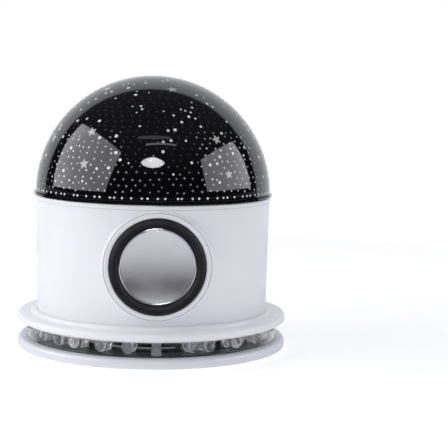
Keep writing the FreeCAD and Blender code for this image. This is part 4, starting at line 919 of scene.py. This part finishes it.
def addRearMarks():
    # flat lines of even width: each path's points move half the width to both sides
    marks = rearMarks
    share = np.linspace(0, 1, marks["steps"])[:, None]
    paths = []
    for button, (first, last) in marks["arcs"].items():
        turn = np.radians(first + (last - first) * share)
        ring = np.concatenate([np.cos(turn), np.sin(turn)], axis=1)
        paths.append(markMiddle(button) + ring * marks["radius"])
    for button, start, end in marks["strokes"]:
        line = np.array(start) + share * (np.array(end) - np.array(start))
        paths.append(markMiddle(button) + line * marks["radius"])
    paths = np.stack(paths)
    along = np.gradient(paths, axis=1)
    along /= np.linalg.norm(along, axis=2, keepdims=True)
    across = stacked(-along[..., 1], along[..., 0]) * marks["line"] / 2
    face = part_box("rear_panel")[1].y
    proud = marks["proud"]
    sides = []
    for way, out in ((1, proud), (-1, proud), (-1, -proud), (1, -proud)):
        flat = paths + way * across
        sides.append(stacked(flat[..., 0], face + out, flat[..., 1]))
    count, steps = len(paths), marks["steps"]
    first = np.arange(count)[:, None] * 4 * steps + np.arange(4) * steps
    faces = [*gridFaces(4, steps, True, False, count), *first, *(first + steps - 1)]
    material, tree, shader = newFinish("printedMark", (0.25, 0.25, 0.27), 0.5)
    unevenGloss(tree, shader, noise(tree, 900, 2), 0.42, 0.58)
    makePiece("rearMarks", np.stack(sides, axis=1), faces, "chip_black", "root", finish=material)


addRearMarks()


# stage: pale floor and soft lights
stageSetup = {
    "floorRadius": 0.42, "floorSides": 96, "floorColor": (0.86, 0.86, 0.88), "floorGlow": 0.5,
    # reflections see a pale card on the floor: its glow at each distance from the drum's axis
    "card": [
        (0.145, 0.015), (0.165, 0.6), (0.21, 0.86), (0.31, 0.82), (0.345, 0.55), (0.375, 0.16), (0.4, 0.04),
    ],
    "nearCard": [(0.14, 0.55), (0.15, 0.0)],  # and nearer, beside and behind the drum
    "nearFront": -0.04,  # the Y at which the nearer one has faded out
    "skyColor": (0.93, 0.94, 1.0), "skyStrength": 0.42,
    "backEdge": 0.58, "backLean": -0.12, "backBlur": 0.03,  # where the white backdrop starts in reflections
    # how bright the room in front is in reflections, and the direction's upward part at both
    "frontGlow": (0.02, 0.11), "frontUp": (0.3, 0.8),
    # and below the floor's edge, as (upward part, strength)
    "below": [(-0.2, 0.03), (-0.06, 0.03), (-0.045, 0.9), (-0.025, 0.9), (0.0, 0.04)],
    "belowAround": (0.046, 0.11),  # middle and half width of its brighter patch
    "belowCore": 0.4, "belowAside": 0.35,  # share of it at full strength, and the strength beside it
    "panelFar": 1.5, "panelGraded": (-1.1, 0.3),  # mirrored panels' distance, and Y at their two glows
}
# lights by direction from the dome (degrees round from the front, degrees up), distance and size
softLights = {
    "key": {
        "around": -82, "up": 22, "far": 0.8, "size": (1.0, 0.6), "radiance": 1.9, "color": (1, 0.985, 0.96),
    },
    "fill": {
        "around": 84, "up": 18, "far": 0.8, "size": (0.9, 0.5), "radiance": 0.75, "color": (0.97, 0.98, 1),
    },
}
# low lights for the small parts behind the clear ring, which the flange shades
ringLights = {
    name: {
        "around": around, "up": 1, "far": 0.5, "size": (0.5, 0.12), "radiance": 5.0, "color": (1, 1, 1),
    }
    for name, around in (("ahead", -5), ("left", -62), ("right", 56))
}
# and a weak one from above for the flange and the drum
topLight = {"around": -10, "up": 75, "far": 0.8, "size": (0.6, 0.6), "radiance": 0.8, "color": (1, 1, 1)}
litByTop = ("flange_cover", "drum_housing", "speaker_bezel", "collar_ring")
litByRing = (
    "ringLamps", "lampBands", "lampFrames", "lampCups", "boardEdge", "solderJoints",
    "led_legs", "ir_receiver",
)
# what the glossy dome mirrors: panels by their corners (degrees round from the front, degrees up), and
# the glow of each at the front and at the back
mirroredPanels = {
    "left": {
        "corners": [
            (-114, 1), (-77, 2.6), (-48.4, 3.6), (-44, 22), (-41, 40), (-79, 46.5), (-122, 38),
            (-119, 25.5), (-115.6, 12),
        ],
        "glow": (2.4, 3.5),
    },
    "right": {
        "corners": [
            (49.7, 4.5), (74.5, 4), (105.2, 2.1), (105.1, 12.6), (105.3, 22), (105.4, 31.4),
            (76.5, 35.4), (49.9, 32), (48.4, 18.3),
        ],
        "glow": (2.3, 3.7),
    },
    "lamp": {
        "corners": [
            (-16.3, 33), (-13.5, 30.2), (-8, 28.6), (-3, 28.2), (3, 29), (7.5, 31), (9.4, 33.3),
            (6, 35.6), (1, 37.6), (-3.4, 38.3), (-8, 37.8), (-13, 36),
        ],
        "glow": (17.0, 17.0),
    },
    "line": {
        "corners": [(-13, 49.6), (7.4, 50.9), (27, 48.2), (28, 49.6), (7.4, 52.8), (-13.6, 51.6)],
        "glow": (2.4, 2.4),
    },
    "haze": {
        "corners": [(-27, 55), (-1, 56.6), (24, 55), (25, 57.6), (-1, 60.3), (-28, 57.6)],
        "glow": (0.9, 0.9),
    },
}


def addFloor():
    look, sides = stageSetup, stageSetup["floorSides"]
    angle = np.linspace(0, 2 * math.pi, sides, endpoint=False)
    mesh = bpy.data.meshes.new("floor")
    points = stacked(np.cos(angle), np.sin(angle), 0) * look["floorRadius"]
    mesh.from_pydata(points.tolist(), [], [list(range(sides))])
    material, tree, shader = newFinish(
        "paleFloor", look["floorColor"], 0.7, Emission_Strength=look["floorGlow"], Emission_Color=(1, 1, 1, 1)
    )
    away = radiusFrom(tree)
    beside = spread(tree, placeAlong(tree, "Y"), 0.0, 1.0, look["nearFront"], 0.0)
    near = curve(tree, away, look["nearCard"])
    card = worked(tree, "MULTIPLY_ADD", near, beside, curve(tree, away, look["card"]))
    mirrored = addNode(tree, "Emission", {"Color": (0.95, 0.95, 1, 1), "Strength": card})
    glossy = addNode(tree, "LightPath", {}).outputs["Is Glossy Ray"]
    mix = addNode(tree, "MixShader", {0: glossy, 1: shader.outputs[0], 2: mirrored.outputs[0]})
    # from below, the floor is not there
    behind = addNode(tree, "NewGeometry", {}).outputs["Backfacing"]
    clear = addNode(tree, "BsdfTransparent", {})
    both = addNode(tree, "MixShader", {0: behind, 1: mix.outputs[0], 2: clear.outputs[0]})
    tree.links.new(both.outputs[0], tree.nodes["Material Output"].inputs["Surface"])
    mesh.materials.append(material)
    floor = newObject("floor", mesh)


def addSky():
    # white where it is seen, soft all round as light, and in reflections white behind and dark in front
    look = stageSetup
    world = bpy.data.worlds.new("studio")
    bpy.context.scene.world = world
    world.use_nodes = True
    tree = world.node_tree
    tree.nodes.clear()
    sky = addNode(tree, "Background", {"Color": (*look["skyColor"], 1), "Strength": look["skyStrength"]})
    seen = addNode(tree, "Background", {"Color": (1, 1, 1, 1), "Strength": 1.0})
    way = addNode(tree, "SeparateXYZ", {"Vector": addNode(tree, "TexCoord", {}).outputs["Generated"]})
    x, y, z = (way.outputs[name] for name in "XYZ")
    edge = worked(tree, "MULTIPLY_ADD", x, look["backLean"], look["backEdge"])
    past = worked(tree, "SUBTRACT", y, edge)
    blur = look["backBlur"]
    back = spread(tree, past, 0.0, 1.0, -blur, blur, interpolation_type="SMOOTHSTEP")
    above = spread(tree, z, *look["frontGlow"], *look["frontUp"])
    middle, half = look["belowAround"]
    aside = worked(tree, "ABSOLUTE", worked(tree, "SUBTRACT", x, middle))
    core = half * look["belowCore"]
    patch = spread(tree, aside, 1.0, look["belowAside"], core, half, interpolation_type="SMOOTHSTEP")
    low = worked(tree, "MULTIPLY", curve(tree, z, look["below"]), patch)
    under = worked(tree, "LESS_THAN", z, 0.0)
    front = addNode(tree, "Mix", {0: under, 2: above, 3: low}).outputs[0]
    strength = addNode(tree, "Mix", {0: back, 2: front, 3: 1.0}).outputs[0]
    mirrored = addNode(tree, "Background", {"Color": (0.95, 0.96, 1.0, 1), "Strength": strength})
    path = addNode(tree, "LightPath", {})
    surface = sky.outputs[0]
    for ray, other in (("Is Glossy Ray", mirrored), ("Is Camera Ray", seen)):
        mix = addNode(tree, "MixShader", {0: path.outputs[ray], 1: surface, 2: other.outputs[0]})
        surface = mix.outputs[0]
    tree.links.new(surface, addNode(tree, "OutputWorld", {}).inputs["Surface"])


def addSoftLight(name, box, target, lit=()):
    # an area light that faces its target: watts = radiance x pi x area
    way = Vector(onSphere(box["around"], box["up"]))
    light = bpy.data.lights.new(name, "AREA")
    light.shape = "RECTANGLE"
    light.color = box["color"]
    light.size, light.size_y = box["size"]
    light.energy = box["radiance"] * math.pi * light.size * light.size_y
    lamp = newObject(name, light)
    lamp.location = target + way * box["far"]
    lamp.rotation_euler = way.to_track_quat("Z", "Y").to_euler()
    lamp.visible_camera = False
    lamp.visible_glossy = False
    if lit:
        parts = bpy.data.collections.new(name + "Parts")
        for part in lit:
            parts.objects.link(bpy.data.objects[part])
        lamp.light_linking.receiver_collection = parts


def addMirroredPanel(name, panel):
    # a glowing sheet that only reflections see
    ways = onSphere(*np.array(panel["corners"], float).T)
    points = np.array(domeCentre) + ways * stageSetup["panelFar"]
    count = len(points)
    mesh = bpy.data.meshes.new(name)
    fan = [(i, (i + 1) % count, count) for i in range(count)]
    mesh.from_pydata([*points.tolist(), points.mean(axis=0).tolist()], [], fan)
    material = bpy.data.materials.new(name)
    material.use_nodes = True
    tree = material.node_tree
    tree.nodes.remove(tree.nodes["Principled BSDF"])
    graded = spread(tree, placeAlong(tree, "Y"), *panel["glow"], *stageSetup["panelGraded"])
    uneven = spread(tree, noise(tree, 1.6, 2), 0.9, 1.1, 0.35, 0.65)
    strength = worked(tree, "MULTIPLY", graded, uneven)
    glow = addNode(tree, "Emission", {"Color": (0.96, 0.96, 1, 1), "Strength": strength})
    tree.links.new(glow.outputs[0], tree.nodes["Material Output"].inputs["Surface"])
    mesh.materials.append(material)
    sheet = newObject(name, mesh)
    for flag in ("visible_camera", "visible_diffuse", "visible_shadow", "visible_transmission"):
        setattr(sheet, flag, False)


addFloor()
addSky()
for name, box in softLights.items():
    addSoftLight(name + "Light", box, domeCentre)
for name, box in ringLights.items():
    addSoftLight(name + "RingLight", box, ringCentre, litByRing)
addSoftLight("topLight", topLight, ringCentre, litByTop)
for name, panel in mirroredPanels.items():
    addMirroredPanel(name + "Panel", panel)
bpy.context.scene.view_settings.view_transform = "Standard"
print("stage and lights set")
